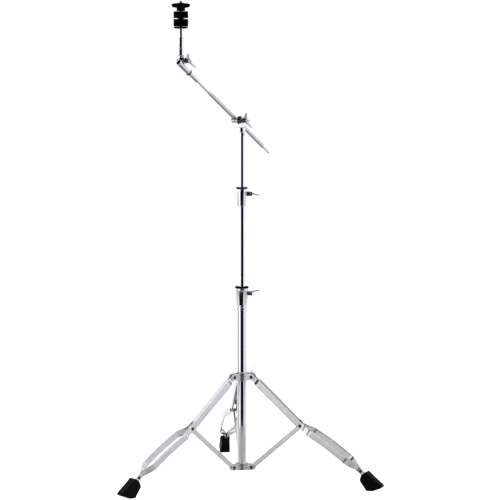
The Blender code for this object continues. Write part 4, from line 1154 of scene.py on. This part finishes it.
def felt_washer(low, high, seed):
    """A thick felt ring with a slightly uneven, fibrous outline."""
    inner, edge = CYMBAL_SLEEVE_R + GAP, 0.0018
    flat = FELT_R - edge - inner
    profile = [(inner, high - (high - low) * i / 4) for i in range(4)]
    profile += [(inner + flat * i / 10, low) for i in range(10)]
    profile += low_edge(FELT_R, low, edge, 6)
    profile += [(FELT_R, low + edge + (high - low - 2 * edge) * i / 16) for i in range(1, 16)]
    profile += high_edge(FELT_R, high, edge, 6)
    profile += [(FELT_R - edge - flat * i / 10, high) for i in range(1, 10)]
    bm = turned(profile, 128, closed=True)
    bm.normal_update()
    for vert in bm.verts:
        if math.hypot(vert.co.x, vert.co.y) > inner + 0.0005:
            place = vert.co * 240 + Vector((seed, 0, 0))
            broad = noise.noise(place * 0.45)
            fine = noise.noise(place * 2.6)
            vert.co -= vert.normal * (0.00022 + 0.00018 * broad + 0.00010 * fine)
    return bm


def cymbal_wing_nut():
    """The seat's top nut: a round neck, a hub and a bar with rounded ends."""
    low = UPPER_FELT[1] + GAP
    middle = (NUT_NECK_TOP + NUT_TOP) / 2
    neck = rod(NUT_NECK_R, low, NUT_NECK_TOP + 0.001, FINE, 0)
    bar = prism(corner_cut([(x, z + middle) for x, z in NUT_WING], 2), -NUT_WING_HALF, NUT_WING_HALF)
    hub = rod(NUT_HUB_R, NUT_NECK_TOP - 0.001, NUT_TOP + 0.0008, FINE, 0)
    nut = cut(joined(neck, bar, hub), rod(CYMBAL_ROD_R, low - 0.01, NUT_TOP + 0.02, ROUND, 0))
    return cast_form(nut, 0.0004, 5, 0.4)


def make_seat():
    piece("tilter_head_casting", tilter_head(), BRIGHT, "tilter", "tilter_head", at=TILTER_FRAME,
          bevel=CAST_EDGE)
    piece("tilter_bolt_threaded", tilter_bolt(), CHROME, "tilter", "tilter_bolt", at=TILTER_FRAME @ ALONG_Y)
    at = TILTER_FRAME @ shift(0, SOCKET_BACK + GAP, 0) @ turn(TILTER_WING_TURN, "Y") @ ALONG_Y
    nut = wing_nut(TILTER_WING)
    piece("tilter_wing_nut_cast", nut, CHROME, "tilter_wing", "tilter_wing_nut", at=at, sharp=50)
    stem = bolt_body([(0, CYMBAL_ROD_START), (CYMBAL_ROD_R, CYMBAL_ROD_START)], ROD_TOP, CYMBAL_ROD_R, 0.0600)
    piece("cymbal_rod_threaded", stem, DARK_THREAD, "tilter", "cymbal_rod", at=SEAT_FRAME)
    piece("cup_washer_moulded", cup_washer(), PLASTIC, "tilter", "cup_washer", at=SEAT_FRAME)
    piece("cymbal_sleeve_moulded", cymbal_sleeve(), PLASTIC, "tilter", "cymbal_sleeve", at=SEAT_FRAME,
          bevel=0.0002)
    for label, (low, high), seed in (("lower", LOWER_FELT, 3.0), ("upper", UPPER_FELT, 11.0)):
        washer = piece(f"{label}_felt_washer", felt_washer(low, high, seed), FELT, "tilter", f"{label}_felt",
                       at=SEAT_FRAME, sharp=60)
    piece("cymbal_wing_nut_moulded", cymbal_wing_nut(), PLASTIC, "cymbal_nut", "cymbal_wing_nut",
          at=SEAT_FRAME @ turn(NUT_TURN, "Z"), sharp=50)


# ---- studio


def make_floor():
    """A round pale floor, lit so that it runs into the white background."""
    bm = bmesh.new()
    bmesh.ops.create_circle(bm, cap_ends=True, radius=FLOOR_R, segments=128)
    floor = new_object("studio_floor", bm)
    floor.location = (0, 0, -0.0002)
    look = Look("pale_floor", "floor", (0.75, 0.75, 0.75), 0.0, 0.9)
    look.shader.inputs["Specular IOR Level"].default_value = 0.0
    look.shader.inputs["Emission Color"].default_value = (1, 1, 1, 1)
    lit = add_node(look.tree, "LightPath", {}).outputs["Is Camera Ray"]
    look.tree.links.new(lit, look.shader.inputs["Emission Strength"])
    look.tree.links.new(lit, look.shader.inputs["Alpha"])
    floor.data.materials.append(look.mat)


def make_camera():
    data = bpy.data.cameras.new("camera")
    data.sensor_width = 36
    data.lens = CAMERA_LENS
    data.clip_end = 100
    camera = bpy.data.objects.new("camera", data)
    heading = math.radians(CAMERA_HEADING)
    camera.location = (
        CAMERA_BESIDE * math.cos(heading) + CAMERA_BACK * math.sin(heading),
        POST_Y + CAMERA_BESIDE * math.sin(heading) - CAMERA_BACK * math.cos(heading),
        CAMERA_HEIGHT + POST_LIFT,
    )
    camera.rotation_euler = (math.radians(90 - CAMERA_DOWN), 0, heading)
    bpy.context.scene.collection.objects.link(camera)
    bpy.context.scene.camera = camera


# Colours of the studio
WHITE, GREY, BLACK = (1.2, 1.2, 1.2), (0.10, 0.10, 0.10), (0.002, 0.002, 0.003)
LILAC, SILVER, PALE = (1.05, 1.05, 1.18), (0.85, 0.86, 0.92), (0.80, 0.80, 0.81)

# The studio from straight down to straight up. Each level takes over from the one below between two heights
# of the direction's unit vector. It gives colours by angle in degrees round the stand, 0 towards the
# photographer and positive to the right. A plain number is a neutral grey.
STUDIO_LEVELS = (
    (None, None, ((-180, GREY), (-155, GREY), (-150, BLACK), (-70, BLACK), (-60, GREY), (180, GREY))),
    (-0.95, -0.75, (
        (-180, 1.0), (-140, 0.92), (-106, 0.80), (-96, 0.3), (-66, 0.3), (-56, 0.7), (50, 0.55), (114, PALE),
        (180, 1.0))),
    (-0.46, -0.40, (  # what the lower clamp's taper mirrors
        (-180, 1.0), (-140, 0.92), (-100, 0.80), (-66, 1.15), (-58, 1.15), (-50, BLACK), (24, BLACK),
        (32, (0.68, 0.68, 0.70)), (60, (0.79, 0.79, 0.81)), (90, (0.79, 0.79, 0.81)), (114, PALE),
        (180, 1.0))),
    (-0.26, -0.235, (  # the legs
        (-180, 1.0), (-140, 0.92), (-114, 0.80), (-78, 0.62), (-50, 0.52), (-24, 0.44),
        (0, (0.34, 0.34, 0.35)), (24, (0.44, 0.44, 0.45)), (50, (0.47, 0.47, 0.475)),
        (78, (0.56, 0.56, 0.565)), (114, (0.78, 0.78, 0.79)), (180, 1.0))),
    (-0.1915, -0.1885, (  # the base tube
        (-180, 1.05), (-132, 1.05), (-118, (0.80, 0.80, 0.82)), (-106, (0.80, 0.80, 0.82)), (-100, BLACK),
        (-88, BLACK), (-82, WHITE), (-35, WHITE), (-29, BLACK), (35, BLACK), (42, (0.62, 0.63, 0.72)),
        (60, (0.85, 0.86, 0.95)), (120, (0.82, 0.83, 0.93)), (150, (1.0, 1.0, 1.03)), (180, 1.05))),
    (-0.1305, -0.1285, (  # the middle and top tubes
        (-180, WHITE), (-28, WHITE), (-23, BLACK), (43, BLACK), (48, SILVER), (66, LILAC), (120, LILAC),
        (180, WHITE))),
    (-0.035, -0.028, (  # the tilter's barrel
        (-180, WHITE), (-54, WHITE), (-48, BLACK), (36, BLACK), (42, WHITE), (66, LILAC), (120, LILAC),
        (180, WHITE))),
    (0.04, 0.07, (
        (-180, WHITE), (-92, WHITE), (-86, BLACK), (-50, BLACK), (-46, WHITE), (-34, WHITE), (-28, BLACK),
        (32, BLACK), (38, WHITE), (66, LILAC), (120, LILAC), (180, WHITE))),
    (0.26, 0.34, (
        (-180, WHITE), (-112, WHITE), (-104, BLACK), (-56, BLACK), (-50, WHITE), (60, WHITE),
        (100, (0.9, 0.9, 0.95)), (130, 0.15), (160, 0.6), (180, WHITE))),
    (0.72, 0.80, (
        (-180, WHITE), (-152, WHITE), (-146, BLACK), (-66, BLACK), (-60, WHITE), (60, WHITE), (100, SILVER),
        (130, 0.15), (160, 0.6), (180, WHITE))),
)


def make_world():
    """A white studio that is dark behind the photographer and has a lilac card on one side."""
    world = bpy.data.worlds.new("studio")
    bpy.context.scene.world = world
    world.use_nodes = True
    tree = world.node_tree
    tree.nodes.clear()
    direction = add_node(tree, "TexCoord", {}).outputs["Generated"]

    def dot(vector):
        node = add_node(tree, "VectorMath", {0: direction, 1: vector}, operation="DOT_PRODUCT")
        return node.outputs["Value"]

    def calculated(operation, first, second):
        return add_node(tree, "Math", {0: first, 1: second}, operation=operation).outputs["Value"]

    heading = math.radians(CAMERA_HEADING)
    right = (math.cos(heading), math.sin(heading), 0)
    toward = (math.sin(heading), -math.cos(heading), 0)
    angle = calculated("ARCTAN2", dot(right), dot(toward))
    share = calculated("ADD", calculated("DIVIDE", angle, math.tau), 0.5)
    height = dot((0, 0, 1))

    def ring_of_light(stops):
        ramp = add_node(tree, "ValToRGB", {"Fac": share})
        elements = ramp.color_ramp.elements
        elements.remove(elements[-1])
        for number, (degrees, color) in enumerate(stops):
            position = (degrees + 180) / 360
            element = elements.new(position) if number else elements[0]
            element.position = position
            element.color = (*(color if isinstance(color, tuple) else (color, color, color)), 1)
        return ramp.outputs["Color"]

    surround = ring_of_light(STUDIO_LEVELS[0][2])
    for start, end, stops in STUDIO_LEVELS[1:]:
        rise = add_node(tree, "MapRange", {"From Min": start, "From Max": end, "Value": height},
                        interpolation_type="SMOOTHSTEP")
        inputs = {"Factor": rise.outputs["Result"], "A": surround, "B": ring_of_light(stops)}
        surround = add_node(tree, "Mix", inputs, data_type="RGBA").outputs["Result"]
    camera_ray = add_node(tree, "LightPath", {}).outputs["Is Camera Ray"]
    inputs = {"Factor": camera_ray, "A": surround, "B": (1.1, 1.1, 1.1, 1)}
    seen = add_node(tree, "Mix", inputs, data_type="RGBA")
    background = add_node(tree, "Background", {"Color": seen.outputs["Result"]})
    add_node(tree, "OutputWorld", {"Surface": background.outputs["Background"]})


def make_studio():
    make_floor()
    make_camera()
    make_world()
    bpy.context.scene.view_settings.view_transform = "Standard"


make_tripod()
make_post()
make_boom()
make_seat()
make_studio()
